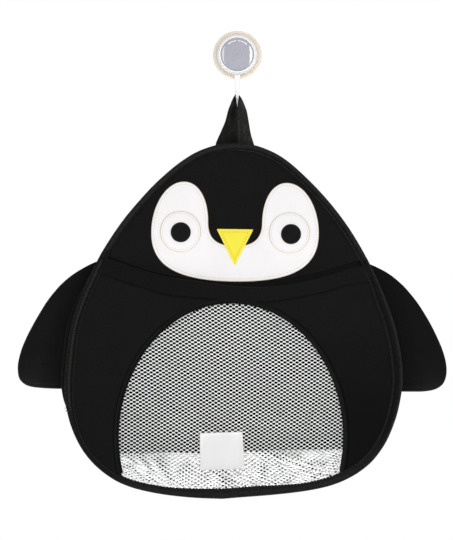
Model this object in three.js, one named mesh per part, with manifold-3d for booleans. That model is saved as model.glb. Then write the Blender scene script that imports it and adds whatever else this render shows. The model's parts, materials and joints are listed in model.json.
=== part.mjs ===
// A bath toy organizer: a penguin-shaped bag of black foam fabric with a mesh belly.
// It hangs by its tuft from the hook of a twist-lock suction cup.
// Millimetres. The wall is the plane y = 0, the cup's middle is the origin, +Z is up and
// the front faces -Y. A height h is a distance from the wall towards the viewer, and a
// drop d is a distance down from the bag's top edge.
import * as THREE from "three";
import { mergeVertices } from "three/addons/utils/BufferGeometryUtils.js";
import Module from "manifold-3d";

const wasm = await Module();
wasm.setup();

// Fits
const FIT = 0.3; // between two layers that lie on each other
const RUN = 0.2; // between two pieces that turn on each other

// Suction cup
const CUP_RADIUS = 25.5;
const CUP_LIP = 1.2; // thickness at the edge
const CUP_SLOPE = 0.32; // rise of the cup's front for each millimetre towards the middle
const CUP_SEAL = 4; // width of the flat ring on the wall
const CUP_HOLLOW = 2.4; // depth of the hollow behind the cup
const BOSS_RADIUS = 7;
const BOSS_TOP = 9;
const CUP_MEMBRANE = 2.2; // soft plastic under the stem's foot

// Stem and its cross pin
const STEM_RADIUS = 2.9;
const STEM_FOOT_RADIUS = 4.5;
const STEM_FOOT = 1.4;
const PIN_RADIUS = 1;
const PIN_LENGTH = 17.2;
const STEM_ABOVE_PIN = 0.4;

// Housing with the hook
const HOUSING_RADIUS = 21.4;
const HOUSING_WALL = 2.8;
const HOUSING_SKIRT = 1.9; // straight part of the side, next to the cup
const HOUSING_TOP = 14.6;
const HOUSING_BEVEL = 1.6;
const HOUSING_LIP = 0.6;
const FLOOR = 1.8;
const BOSS_ROOM = 0.6; // free travel between the boss and the floor
const STEM_HOLE = 0.5; // added to the stem's radius
const WASHER_RADIUS = 9;
const WASHER = 0.5;

// Knob and its lens
const KNOB_RIM = 1.4;
const KNOB_FLOOR = 1.5;
const KNOB_DEPTH = 5.3;
const LENS_RECESS = 0.9; // rim standing above the lens's seat
const LENS_LEDGE = 1.4;
const LENS_EDGE = 1.2;
const LENS_RISE = 3.4;
const LENS_SHELL = 1.3;
const RAMP_INNER = 4.2;
const RAMP_WIDTH = 4.8;
const RAMP_LOW = 0.3; // low end of a ramp above the knob's floor
const DRAW = 2.4; // travel of the stem
const TWIST = Math.PI / 2; // turn of the knob that makes that travel
const RAMP_FLAT = 0.3; // level stretch at each end of a ramp, radians
const ROUND = 44; // sides of a turned piece

// Hook
const ARM_THICKNESS = 3.4;
const ARM_TOP_WIDTH = 7.7;
const ARM_WIDTH = 3.9;
const ARM_TAPER_END = 39.7; // below the cup's middle
const ARM_HEIGHT = 3.6; // from the wall to the arm's back
const HOOK_CENTRE = 53.3; // below the cup's middle
const HOOK_INNER = 3.2; // inner radius of the bend
const HOOK_TIP = 46.5; // below the cup's middle

// Layers of the bag, from the wall outwards
const WALL_GAP = 1.3;
const FOAM = 3; // foam fabric
const TAPE = 1.2; // binding tape and vinyl
const THIN = 1; // thinner vinyl of the eyes and beak
const PUPIL = 0.8;
const NET = 1.2; // netting
const LABEL = 0.8;
const TAB_FRONT = WALL_GAP + FOAM;
const BACK_REAR = TAB_FRONT + FIT + TAPE + FIT;
const BACK_FRONT = BACK_REAR + FOAM;
const HEAD_REAR = BACK_FRONT + FIT;
const HEAD_FRONT = HEAD_REAR + FOAM;
const PATCH_REAR = HEAD_FRONT + FIT;
const PATCH_FRONT = PATCH_REAR + TAPE;
const EYE_REAR = PATCH_FRONT + FIT;
const EYE_FRONT = EYE_REAR + THIN;

// How the bag hangs
const BAG_TOP = 92.8; // below the cup's middle
const BAG_SHIFT = -2.8; // sideways from the cup's middle
const LEAN = 0.0126; // radians, the bottom towards -X

// Outline of the bag, each half two curves that meet at its widest point
const HALF_WIDTH = 176.3;
const BODY_HEIGHT = 370;
const WIDEST_DROP = 245.6;
const CROWN_REACH = 75; // how far the curve runs level at the top
const SHOULDER_REACH = 110; // how far it runs straight above the widest point
const HIP_REACH = 89; // how far it runs straight below the widest point
const FOOT_REACH_LEFT = 120; // how far it runs level at the bottom
const FOOT_REACH_RIGHT = 130;
const LOWEST_SHIFT = -8;
const CROWN_STEPS = 26;
const FOOT_STEPS = 22;

// Mouth of the pocket
const CORNER_DROP = 124;
const RIM_SAG = 26;
const HEAD_LIFT = 3.5; // head panel's lower edge above the rim
const HEM = 14;
const HEM_END = 15; // hem's ends from the mouth's corners
const RIM_STEPS = 22;

// Depth of the pocket
const POCKET_DEPTH = 26; // at the side seams
const DEPTH_RUN = 185; // drop over which that depth is reached
const BULGE_TOP = 8; // belly in front of its side seams, at the rim
const BULGE_BOTTOM = 5;

// Back panel and side gussets
const BACK_LIFT = 16; // its lowest point above the front's
const BACK_LIFT_START = 260; // drop below which it runs up
const BACK_SHIFT = 5; // the back hangs this far to the left of the front
const BACK_SHIFT_RUN = 70;
const GUSSET_START = 10; // below the mouth's corners
const GUSSET_END = 274;
const GUSSET_INSET = 1; // inside the bindings

// Bindings
const BINDING = 7.5; // width of the tape on the panel's face
const BELLY_BINDING_START = 6; // below the mouth's corners
const WINDOW_TAPE = 1;
const WINDOW_BINDING = 5;

// Mesh window, an ellipse cut off by the bottom binding
const WINDOW_HALF = 116.5;
const WINDOW_RISE = 138.5;
const WINDOW_DROP = 306.2;
const WINDOW_CORNER_TURN = 0.8; // radians from the top, where the rim's corners are joined
const NET_MARGIN = 2.6; // netting behind the panel's edge
const NET_PITCH_X = 24.4;
const NET_PITCH_Z = 14.2;
const NET_BAR = 3.2;
const DRAIN_SEAM_LIFT = 50; // its straight seam across the back, above the bag's lowest point
const DRAIN_LAP = 3; // drain netting further in behind the back's binding
const DRAIN_COLUMNS = 34;
const DRAIN_ROWS = 2;
const DRAIN_BAR = 0.14; // bar beside a gap, as a share of the gap's own cell

// Hanging loop: half widths of the tuft, by distance below the cup's middle
const LOOP_TOP = 43.2;
const LOOP_EDGE = [
  [3.7, LOOP_TOP],
  [8.9, 58.3],
  [11.5, 70.9],
  [15.7, 83.4],
];
const LOOP_BASE_HALF = 20.2;
const LOOP_STEPS = 14;
const LOOP_BEND = 63; // below the cup's middle, where the tuft bends back to the wall
const LOOP_REST = 0.8; // between the loop and the bottom of the hook
const SLIT_SIDE = 1.25; // free room on each side of the hook
const SLIT_BELOW = 2.6; // free room below the hook
const SEAM_GAP = 0.6; // at the fold between the loop and its root
const ROOT_LENGTH = 16;

// Flippers
const FLIPPER_TOP = 122.5; // drop
const FLIPPER_HEIGHT = 136; // from there to the lower edge
const FLIPPER_REACH = 47.3; // tip beyond the bag's widest point
const FLIPPER_TIP = HALF_WIDTH + FLIPPER_REACH; // from the bag's middle
const FLIPPER_TIP_DROP = 236;
const FLIPPER_SHOULDER = 40; // how far the upper edge runs on from its start, outwards
const FLIPPER_SHOULDER_DROP = 20;
const FLIPPER_SIDE = 48; // how far the outer edge runs up from the tip
const FLIPPER_FLARE = 6;
const FLIPPER_CORNER = 15;
const FLIPPER_TUCK = 9; // root behind the back panel
const FLIPPER_SWELL = 3;
const HINGE_CLEAR = 4; // hinge line outside the bindings
const HINGE_GAP = 0.8;
const FLIPPER_STEPS = 12;

// Face
const FACE_SHIFT = 1.6; // sideways from the bag's middle
const FACE_HALF = 87.8;
const FACE_WIDEST = 94; // drop
const FACE_BOTTOM = 144.8;
const LOBE_TOP_X = 53.8;
const LOBE_TOP = 40.8;
const NOTCH_HALF = 28.2;
const NOTCH_SIDE = 82.6;
const NOTCH_BOTTOM = 107.6;
const FACE_STEPS = 10;
const EYE_RADIUS = 21.4;
const EYE_IN = 30.8; // an eye's middle from the face patch's outer edge
const EYE_X = FACE_HALF - EYE_IN;
const EYE_DROP = 93.4;
const PUPIL_RADIUS = 10.5;
const BEAK_HALF = 19.1;
const BEAK_TOP = 89.9;
const BEAK_TIP = 127.1;

// Label on the mesh
const LABEL_WIDTH = 45.5;
const LABEL_HEIGHT = 37;
const LABEL_X = -9;
const LABEL_LIFT = 49; // its middle above the bag's lowest point
const LABEL_TURN = -0.026;

// Looks
const BLACK_FOAM = { color: 0x17171a, roughness: 0.9, metalness: 0 };
const BLACK_TAPE = { color: 0x222226, roughness: 0.95, metalness: 0 };
const WHITE_NET = { color: 0xe9e9ea, roughness: 0.8, metalness: 0 };
const WHITE_VINYL = { color: 0xf3f2f0, roughness: 0.55, metalness: 0 };
const BLACK_VINYL = { color: 0x131314, roughness: 0.5, metalness: 0 };
const YELLOW_VINYL = { color: 0xf4dd0c, roughness: 0.5, metalness: 0 };
const WHITE_WEAVE = { color: 0xf4f4f2, roughness: 0.8, metalness: 0 };
const WHITE_PLASTIC = { color: 0xf6f6f6, roughness: 0.25, metalness: 0 };
const CLEAR_SOFT = { color: 0xe3d6c4, roughness: 0.3, metalness: 0 };
const GREY_CLEAR = { color: 0xb4b3bf, roughness: 0.12, metalness: 0 };
const STEEL = { color: 0xb9bbbd, roughness: 0.3, metalness: 1 };

const clamp01 = (value) => Math.min(1, Math.max(0, value));
const smooth = (value) => clamp01(value) ** 2 * (3 - 2 * clamp01(value));
const flat = (x, d) => new THREE.Vector2(x, d);

// A mesh of one sub-part with a material of its own.
function piece(name, geometry, look) {
  const made = new THREE.Mesh(geometry, new THREE.MeshStandardMaterial(look));
  made.name = name;
  return made;
}

// A geometry with its doubled points joined, no empty triangles and its faces turned out.
function closed(geometry) {
  const bare = new THREE.BufferGeometry();
  bare.setAttribute("position", geometry.getAttribute("position"));
  bare.setIndex(geometry.getIndex());
  const joined = mergeVertices(bare, 1e-4);
  const index = joined.getIndex().array;
  const corner = [new THREE.Vector3(), new THREE.Vector3(), new THREE.Vector3()];
  const kept = [];
  let volume = 0;
  for (let i = 0; i < index.length; i += 3) {
    const [a, b, c] = index.slice(i, i + 3);
    if (a === b || b === c || c === a) continue;
    kept.push([a, b, c]);
    corner.forEach((point, k) => point.fromBufferAttribute(joined.attributes.position, index[i + k]));
    volume += corner[0].dot(corner[1].clone().cross(corner[2]));
  }
  joined.setIndex(kept.flatMap(([a, b, c]) => (volume < 0 ? [a, c, b] : [a, b, c])));
  return joined;
}

// A geometry as a solid for cutting and joining, and such a solid as a geometry again.
function solid(geometry) {
  const { attributes, index } = closed(geometry);
  const vertProperties = new Float32Array(attributes.position.array);
  const triVerts = new Uint32Array(index.array);
  return new wasm.Manifold(new wasm.Mesh({ numProp: 3, vertProperties, triVerts }));
}
function geometryOf(made) {
  const { vertProperties, triVerts } = made.getMesh();
  const geometry = new THREE.BufferGeometry();
  geometry.setAttribute("position", new THREE.BufferAttribute(vertProperties, 3));
  geometry.setIndex(new THREE.BufferAttribute(triVerts, 1));
  geometry.computeVertexNormals();
  return geometry;
}

// A piece turned about the cup's axis, from a profile of [radius, height] points.
function turned(profile) {
  const points = profile.map(([r, h]) => flat(r, -h));
  return closed(new THREE.LatheGeometry(points, ROUND));
}

// A flat piece between two heights, from an outline of [x, d] points.
function slab(outline, rear, front, hole) {
  const turn = ({ x, y }) => flat(x, -y);
  const points = outline.map(turn);
  if (THREE.ShapeUtils.isClockWise(points)) points.reverse();
  const shape = new THREE.Shape(points);
  if (hole) shape.holes.push(new THREE.Path(hole.map(turn)));
  const geometry = new THREE.ExtrudeGeometry(shape, { depth: front - rear, bevelEnabled: false });
  geometry.rotateX(Math.PI / 2);
  geometry.translate(0, -rear, 0);
  return closed(geometry);
}

// A solid through a row of sections: closed rings with the same number of points.
// ring gives the same points in a plane, for the two end faces.
function throughSections(sections, ring) {
  const count = ring.length;
  const points = sections.flat();
  const index = [];
  for (let i = 0; i + 1 < sections.length; i += 1) {
    for (let j = 0; j < count; j += 1) {
      const a = i * count + j;
      const b = i * count + ((j + 1) % count);
      index.push(a, b, b + count, a, b + count, a + count);
    }
  }
  const along = THREE.ShapeUtils.area(ring) > 0;
  const last = points.length - count;
  for (const [a, b, c] of THREE.ShapeUtils.triangulateShape(ring, [])) {
    index.push(...(along ? [c, b, a] : [a, b, c]));
    index.push(...(along ? [a, b, c] : [c, b, a]).map((k) => k + last));
  }
  const geometry = new THREE.BufferGeometry().setFromPoints(points);
  geometry.setIndex(index);
  return closed(geometry);
}

// A point of the bag, from its sideways place, drop and height.
const place = ({ x, y }, h) => new THREE.Vector3(x, -h, -y);

// Half of the bag's outline from the top to the lowest point, sign 1 right and -1 left.
function halfOutline(sign) {
  const widest = flat(sign * HALF_WIDTH, WIDEST_DROP);
  const foot = sign < 0 ? FOOT_REACH_LEFT : FOOT_REACH_RIGHT;
  const upper = new THREE.CubicBezierCurve(
    flat(0, 0),
    flat(sign * CROWN_REACH, 0),
    flat(sign * HALF_WIDTH, WIDEST_DROP - SHOULDER_REACH),
    widest,
  );
  const lower = new THREE.CubicBezierCurve(
    widest,
    flat(sign * HALF_WIDTH, WIDEST_DROP + HIP_REACH),
    flat(LOWEST_SHIFT + sign * foot, BODY_HEIGHT),
    flat(LOWEST_SHIFT, BODY_HEIGHT),
  );
  return [...upper.getPoints(CROWN_STEPS), ...lower.getPoints(FOOT_STEPS).slice(1)];
}
const HALVES = new Map([1, -1].map((sign) => [sign, halfOutline(sign)]));

// The place on an outline at a drop, and the stretch of it between two drops.
function atDrop(points, d) {
  const next = points.findIndex((point, i) => i > 0 && point.y >= d);
  if (next < 0) return points.at(-1).clone();
  const before = points[next - 1];
  const share = (d - before.y) / (points[next].y - before.y);
  return before.clone().lerp(points[next], clamp01(share));
}
function stretch(sign, from, to) {
  const points = HALVES.get(sign);
  const inner = points.filter((point) => point.y > from + 1 && point.y < to - 1);
  return [atDrop(points, from), ...inner, atDrop(points, to)];
}

// A path moved to its right-hand side as the viewer sees it, which is inwards on a path
// that runs clockwise. turn is -1 for a path that runs the other way.
function inset(path, amount, turn = 1) {
  return path.map((point, i) => {
    const along = path[Math.min(i + 1, path.length - 1)].clone().sub(path[Math.max(i - 1, 0)]);
    along.normalize();
    return flat(point.x - turn * amount * along.y, point.y + turn * amount * along.x);
  });
}

// The path cut into equal steps.
function resampled(path, steps) {
  const curve = new THREE.CurvePath();
  path.slice(1).forEach((point, i) => curve.add(new THREE.LineCurve(path[i], point)));
  return curve.getSpacedPoints(steps);
}

// The back hangs a little to the left of the front below the mouth, and ends higher.
function shifted(points) {
  return points.map(({ x, y }) => {
    const low = clamp01((y - BACK_LIFT_START) / (BODY_HEIGHT - BACK_LIFT_START));
    return flat(x - BACK_SHIFT * smooth((y - CORNER_DROP) / BACK_SHIFT_RUN), y - BACK_LIFT * low);
  });
}

// Height of the belly's inner face: the side seams deepen below the mouth's corners, and the
// belly bulges between them.
function bellyHeight({ x, y }) {
  const run = clamp01((y - CORNER_DROP) / DEPTH_RUN);
  const halfWidth = y < WIDEST_DROP ? atDrop(HALVES.get(1), Math.max(y, CORNER_DROP)).x : HALF_WIDTH;
  const bulge = THREE.MathUtils.lerp(BULGE_TOP, BULGE_BOTTOM, run);
  const seam = POCKET_DEPTH * Math.sin((run * Math.PI) / 2);
  return PATCH_REAR + seam + bulge * (1 - (x / halfWidth) ** 2);
}
const onBelly = (point, above) => place(point, bellyHeight(point) + above);

// Suction cup: a soft disc with a flat ring on the wall and a boss that holds the stem's foot.
const cupFront = (radius) => CUP_LIP + (CUP_RADIUS - radius) * CUP_SLOPE;
const SOCKET = CUP_HOLLOW + CUP_MEMBRANE;
const FOOT_TOP = SOCKET + FIT + STEM_FOOT;
function suctionCup() {
  const inner = CUP_RADIUS - CUP_SEAL;
  return turned([
    [0, CUP_HOLLOW],
    [inner * 0.5, CUP_HOLLOW * 0.9],
    [inner * 0.8, CUP_HOLLOW * 0.5],
    [inner, 0],
    [CUP_RADIUS, 0],
    [CUP_RADIUS, CUP_LIP],
    [BOSS_RADIUS, cupFront(BOSS_RADIUS)],
    [BOSS_RADIUS, BOSS_TOP],
    [STEM_RADIUS + FIT, BOSS_TOP],
    [STEM_RADIUS + FIT, FOOT_TOP + FIT],
    [STEM_FOOT_RADIUS + FIT, FOOT_TOP + FIT],
    [STEM_FOOT_RADIUS + FIT, SOCKET],
    [0, SOCKET],
  ]);
}

// Heights in the housing, from its floor to the pin.
const FLOOR_REAR = BOSS_TOP + BOSS_ROOM;
const FLOOR_FRONT = FLOOR_REAR + FLOOR;
const WASHER_REAR = FLOOR_FRONT + RUN;
const KNOB_REAR = WASHER_REAR + WASHER + RUN;
const KNOB_FLOOR_FRONT = KNOB_REAR + KNOB_FLOOR;
const RAMP_BOTTOM = KNOB_FLOOR_FRONT + RAMP_LOW;
const PIN_HEIGHT = RAMP_BOTTOM + DRAW + FIT + PIN_RADIUS;
const RECESS_RADIUS = HOUSING_RADIUS - HOUSING_BEVEL - HOUSING_LIP;
const KNOB_RADIUS = RECESS_RADIUS - FIT;
const LENS_RADIUS = KNOB_RADIUS - KNOB_RIM - FIT;
const STEM_BORE = STEM_RADIUS + STEM_HOLE;

// The hook's arm: a J seen from the side, narrowing downwards as seen from the front.
const HOOK_OUTER = HOOK_INNER + ARM_THICKNESS;
const HOOK_HEIGHT = ARM_HEIGHT + HOOK_OUTER; // the bend's centre from the wall
function hookArm() {
  const top = -(HOUSING_RADIUS - HOUSING_WALL) - 0.5;
  const side = new THREE.Shape();
  side.moveTo(ARM_HEIGHT, top);
  side.lineTo(ARM_HEIGHT, -HOOK_CENTRE);
  side.absarc(HOOK_HEIGHT, -HOOK_CENTRE, HOOK_OUTER, Math.PI, 2 * Math.PI, false);
  side.lineTo(HOOK_HEIGHT + HOOK_OUTER, -HOOK_TIP);
  side.lineTo(HOOK_HEIGHT + HOOK_INNER, -HOOK_TIP);
  side.lineTo(HOOK_HEIGHT + HOOK_INNER, -HOOK_CENTRE);
  side.absarc(HOOK_HEIGHT, -HOOK_CENTRE, HOOK_INNER, 2 * Math.PI, Math.PI, true);
  side.lineTo(ARM_HEIGHT + ARM_THICKNESS, top);
  const bar = new THREE.ExtrudeGeometry(side, { depth: ARM_TOP_WIDTH, bevelEnabled: false });
  bar.applyMatrix4(
    new THREE.Matrix4().makeBasis(
      new THREE.Vector3(0, -1, 0),
      new THREE.Vector3(0, 0, 1),
      new THREE.Vector3(-1, 0, 0),
    ),
  );
  bar.translate(ARM_TOP_WIDTH / 2, 0, 0);
  const front = slab(
    [
      flat(-ARM_TOP_WIDTH / 2, -top - 1),
      flat(ARM_TOP_WIDTH / 2, -top - 1),
      flat(ARM_WIDTH / 2, ARM_TAPER_END),
      flat(ARM_WIDTH / 2, HOOK_CENTRE + HOOK_OUTER + 1),
      flat(-ARM_WIDTH / 2, HOOK_CENTRE + HOOK_OUTER + 1),
      flat(-ARM_WIDTH / 2, ARM_TAPER_END),
    ],
    0,
    HOOK_HEIGHT + HOOK_OUTER + 1,
  );
  return solid(bar).intersect(solid(front));
}

// Housing: a ring that bears on the cup, with a floor, a recess for the knob and the hook.
function hookHousing() {
  const innerRadius = HOUSING_RADIUS - HOUSING_WALL;
  const skirt = cupFront(HOUSING_RADIUS) + FIT;
  const ring = turned([
    [HOUSING_RADIUS, skirt],
    [HOUSING_RADIUS, skirt + HOUSING_SKIRT],
    [HOUSING_RADIUS - HOUSING_BEVEL, HOUSING_TOP - HOUSING_LIP],
    [RECESS_RADIUS, HOUSING_TOP],
    [RECESS_RADIUS, FLOOR_FRONT],
    [STEM_BORE, FLOOR_FRONT],
    [STEM_BORE, FLOOR_REAR],
    [innerRadius, FLOOR_REAR],
    [innerRadius, cupFront(innerRadius) + FIT],
    [HOUSING_RADIUS, skirt],
  ]);
  return geometryOf(solid(ring).add(hookArm()));
}

function slipWasher() {
  return turned([
    [STEM_BORE, WASHER_REAR],
    [WASHER_RADIUS, WASHER_REAR],
    [WASHER_RADIUS, WASHER_REAR + WASHER],
    [STEM_BORE, WASHER_REAR + WASHER],
    [STEM_BORE, WASHER_REAR],
  ]);
}

// One of the knob's two ramps. The pin rests on its high end, and a quarter turn to the left,
// as the viewer sees it, lets the pin down to its low end.
function ramp(pinAngle) {
  const steps = 20;
  const foot = KNOB_FLOOR_FRONT - KNOB_FLOOR / 2;
  const sections = [];
  for (let i = 0; i <= steps; i += 1) {
    const turnBack = THREE.MathUtils.lerp(TWIST + RAMP_FLAT, -RAMP_FLAT, i / steps);
    const top = RAMP_BOTTOM + DRAW * (1 - clamp01(turnBack / TWIST));
    const angle = pinAngle - turnBack;
    const at = (r, h) => new THREE.Vector3(r * Math.cos(angle), -h, r * Math.sin(angle));
    const outer = RAMP_INNER + RAMP_WIDTH;
    sections.push([at(RAMP_INNER, foot), at(outer, foot), at(outer, top), at(RAMP_INNER, top)]);
  }
  return solid(throughSections(sections, [flat(0, 0), flat(1, 0), flat(1, 1), flat(0, 1)]));
}

function camKnob() {
  const front = KNOB_REAR + KNOB_DEPTH;
  const recess = KNOB_RADIUS - KNOB_RIM;
  const bowl = turned([
    [STEM_BORE, KNOB_REAR],
    [KNOB_RADIUS, KNOB_REAR],
    [KNOB_RADIUS, front],
    [recess, front],
    [recess, front - LENS_RECESS],
    [recess - LENS_LEDGE, front - LENS_RECESS],
    [recess - LENS_LEDGE, KNOB_FLOOR_FRONT],
    [STEM_BORE, KNOB_FLOOR_FRONT],
    [STEM_BORE, KNOB_REAR],
  ]);
  return geometryOf(solid(bowl).add(ramp(0)).add(ramp(Math.PI)));
}

// Lens: a thin dome on a thicker edge.
function knobLens() {
  const seat = KNOB_REAR + KNOB_DEPTH - LENS_RECESS + FIT;
  const dome = (r) => seat + LENS_EDGE + LENS_RISE * (1 - (r / LENS_RADIUS) ** 2);
  const inner = LENS_RADIUS - LENS_LEDGE;
  const steps = 5;
  const shares = [...Array(steps + 1).keys()].map((i) => i / steps);
  return turned([
    ...shares.map((share) => [inner * share, dome(inner * share) - LENS_SHELL]),
    [inner, seat],
    [LENS_RADIUS, seat],
    ...shares.map((share) => [LENS_RADIUS * (1 - share), dome(LENS_RADIUS * (1 - share))]),
  ]);
}

// The stem's cross pin lies along X, and the stem is bored for it.
function crossPin(radius, length) {
  const pin = new THREE.CylinderGeometry(radius, radius, length, 16);
  pin.rotateZ(Math.PI / 2);
  pin.translate(0, -PIN_HEIGHT, 0);
  return closed(pin);
}
function cupStem() {
  const top = PIN_HEIGHT + PIN_RADIUS + STEM_ABOVE_PIN;
  const shaft = turned([
    [0, SOCKET + FIT],
    [STEM_FOOT_RADIUS, SOCKET + FIT],
    [STEM_FOOT_RADIUS, FOOT_TOP],
    [STEM_RADIUS, FOOT_TOP],
    [STEM_RADIUS, top],
    [0, top],
  ]);
  return geometryOf(solid(shaft).subtract(solid(crossPin(PIN_RADIUS + RUN / 2, PIN_LENGTH))));
}

// Hanging loop: the free tuft, slit for the hook, in the frame of the cup.
const LOOP_FOLD = BAG_TOP - SEAM_GAP / 2;
const LOOP_HANG = HOOK_CENTRE + Math.sqrt(HOOK_INNER ** 2 - (FOAM / 2) ** 2) - LOOP_REST;
function hangLoop() {
  const edge = new THREE.SplineCurve(
    [...LOOP_EDGE, [LOOP_BASE_HALF, LOOP_FOLD]].map(([half, below]) => flat(half, below)),
  ).getPoints(LOOP_STEPS);
  const middle = (below) => BAG_SHIFT * clamp01((below - LOOP_HANG) / (LOOP_FOLD - LOOP_HANG));
  const right = edge.map(({ x, y }) => flat(middle(y) + x, y));
  const left = edge.map(({ x, y }) => flat(middle(y) - x, y)).reverse();
  const slitHalf = ARM_WIDTH / 2 + SLIT_SIDE;
  const slitEnd = HOOK_CENTRE + HOOK_OUTER + SLIT_BELOW;
  const slit = [
    flat(-slitHalf, LOOP_HANG),
    flat(slitHalf, LOOP_HANG),
    flat(slitHalf, slitEnd - slitHalf),
    flat(0, slitEnd),
    flat(-slitHalf, slitEnd - slitHalf),
  ];
  const front = slab([...right, ...left], 0, HOOK_HEIGHT + FOAM, slit);
  const half = LOOP_BASE_HALF - BAG_SHIFT + 1;
  const strip = [
    [HOOK_HEIGHT, LOOP_TOP - 1],
    [HOOK_HEIGHT, LOOP_BEND],
    [WALL_GAP + FOAM / 2, LOOP_FOLD + 1],
  ];
  const sections = strip.map(([h, below]) =>
    [
      [-half, h - FOAM / 2],
      [half, h - FOAM / 2],
      [half, h + FOAM / 2],
      [-half, h + FOAM / 2],
    ].map(([x, height]) => place(flat(x, below), height)),
  );
  const bent = throughSections(sections, [flat(0, 0), flat(1, 0), flat(1, 1), flat(0, 1)]);
  return geometryOf(solid(front).intersect(solid(bent)));
}

// Loop root: the tuft's end, sewn behind the top of the back panel.
function loopRoot() {
  const top = SEAM_GAP / 2;
  const corner = ROOT_LENGTH / 4;
  return slab(
    [
      flat(-LOOP_BASE_HALF, top),
      flat(LOOP_BASE_HALF, top),
      flat(LOOP_BASE_HALF, ROOT_LENGTH - corner),
      flat(LOOP_BASE_HALF - corner, ROOT_LENGTH),
      flat(corner - LOOP_BASE_HALF, ROOT_LENGTH),
      flat(-LOOP_BASE_HALF, ROOT_LENGTH - corner),
    ],
    WALL_GAP,
    TAB_FRONT,
  );
}

// Clockwise paths along the bag's edge: round the head, round the belly, and round the back.
const EDGE = TAPE + FIT; // a panel's edge inside its binding
const HEAD_CORNER = CORNER_DROP - HEAD_LIFT;
const headPath = [...stretch(-1, 0, HEAD_CORNER).reverse(), ...stretch(1, 0, HEAD_CORNER).slice(1)];
const bellyPathFrom = (drop) => [
  ...stretch(1, drop, BODY_HEIGHT),
  ...stretch(-1, drop, BODY_HEIGHT).reverse().slice(1),
];
const backPathFrom = (drop) => shifted(bellyPathFrom(drop));

// The curve of the mouth between two points of the edge.
function mouthCurve(from, to) {
  return [...Array(RIM_STEPS + 1).keys()].map((i) => {
    const share = i / RIM_STEPS;
    const point = from.clone().lerp(to, share);
    point.y += RIM_SAG * (1 - (2 * share - 1) ** 2);
    return point;
  });
}

function headPanel() {
  const edge = inset(headPath, EDGE);
  const lower = mouthCurve(edge.at(-1), edge[0]);
  return slab([...edge, ...lower.slice(1, -1)], HEAD_REAR, HEAD_FRONT);
}

function backPanel() {
  const path = backPathFrom(0);
  const edge = inset(path, EDGE).slice(1, -1);
  return slab([flat(0, EDGE), ...edge], BACK_REAR, BACK_FRONT);
}

// Points of the window's ellipse, moved outwards, by the angle from its top.
function windowPoint(angle, outwards) {
  const across = flat(WINDOW_RISE * Math.sin(angle), -WINDOW_HALF * Math.cos(angle)).normalize();
  return flat(
    WINDOW_HALF * Math.sin(angle) + outwards * across.x,
    WINDOW_DROP - WINDOW_RISE * Math.cos(angle) + outwards * across.y,
  );
}

// How far inside the belly's edge a point lies, and the angle at which the window's ellipse,
// moved outwards, comes within a distance of that edge.
const bellyEdge = bellyPathFrom(CORNER_DROP);
const insideBy = (point) => Math.min(...resampledEdge.map((other) => other.distanceTo(point)));
const resampledEdge = resampled(bellyEdge, 600);
function windowEnd(sign, outwards, distance) {
  let angle = Math.PI / 2;
  while (insideBy(windowPoint(sign * angle, outwards)) > distance) angle += 0.002;
  return angle;
}

// Belly panel: an arch of foam fabric between the window and the mouth, sides and bottom.
function bellyPanel() {
  const arch = WINDOW_TAPE + FIT;
  const ends = [-1, 1].map((sign) => sign * windowEnd(sign, arch, BINDING - EDGE));
  const legEnd = (sign) => {
    const foot = windowPoint(ends[sign < 0 ? 0 : 1], arch);
    const near = HALVES.get(sign).reduce((a, b) => (a.distanceTo(foot) < b.distanceTo(foot) ? a : b));
    return near.y;
  };
  const left = inset(resampled(stretch(-1, CORNER_DROP, legEnd(-1)), 20), EDGE, -1).reverse();
  const right = inset(resampled(stretch(1, CORNER_DROP, legEnd(1)), 20), EDGE);
  const rim = mouthCurve(left.at(-1), right[0]);
  const spread = (from, to, points) =>
    points.map((outer, i) => [THREE.MathUtils.lerp(from, to, i / (points.length - 1)), outer]);
  const rows = [
    ...spread(ends[0], -WINDOW_CORNER_TURN, left),
    ...spread(-WINDOW_CORNER_TURN, WINDOW_CORNER_TURN, rim).slice(1),
    ...spread(WINDOW_CORNER_TURN, ends[1], right).slice(1),
  ];
  const shares = [0, 1 / 3, 2 / 3, 1];
  const back = shares.slice().reverse();
  const sections = rows.map(([angle, outer]) => {
    const inner = windowPoint(angle, arch);
    return [
      ...shares.map((share) => onBelly(inner.clone().lerp(outer, share), 0)),
      ...back.map((share) => onBelly(inner.clone().lerp(outer, share), FOAM)),
    ];
  });
  const ring = [...shares.map((share) => flat(share, 0)), ...back.map((share) => flat(share, 1))];
  return throughSections(sections, ring);
}

// Rim facing: the hem turned in behind the belly's upper edge.
function rimFacing() {
  const [right, left] = [1, -1].map((sign) => atDrop(HALVES.get(sign), CORNER_DROP));
  const rim = mouthCurve(left, right).filter(
    ({ x }) => x > left.x + HEM_END && x < right.x - HEM_END,
  );
  const sections = rim.map(({ x, y }) => {
    const upper = flat(x, y);
    const lower = flat(x, y + HEM);
    const behind = [onBelly(lower, -FIT - NET), onBelly(upper, -FIT - NET)];
    return [onBelly(upper, -FIT), onBelly(lower, -FIT), ...behind];
  });
  return throughSections(sections, [flat(0, 1), flat(1, 1), flat(1, 0), flat(0, 0)]);
}

// Window binding: a tape with an L section over the arch's edge.
function windowBinding() {
  const clear = BINDING + FIT;
  const from = -windowEnd(-1, WINDOW_BINDING, clear);
  const to = windowEnd(1, WINDOW_BINDING, clear);
  const section = [
    flat(0, 0),
    flat(WINDOW_TAPE, 0),
    flat(WINDOW_TAPE, FOAM + FIT),
    flat(WINDOW_BINDING, FOAM + FIT),
    flat(WINDOW_BINDING, FOAM + FIT + WINDOW_TAPE),
    flat(0, FOAM + FIT + WINDOW_TAPE),
  ];
  const steps = 48;
  const sections = [...Array(steps + 1).keys()].map((i) => {
    const angle = THREE.MathUtils.lerp(from, to, i / steps);
    return section.map((point) => onBelly(windowPoint(angle, point.x), point.y));
  });
  return throughSections(sections, section);
}

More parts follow.
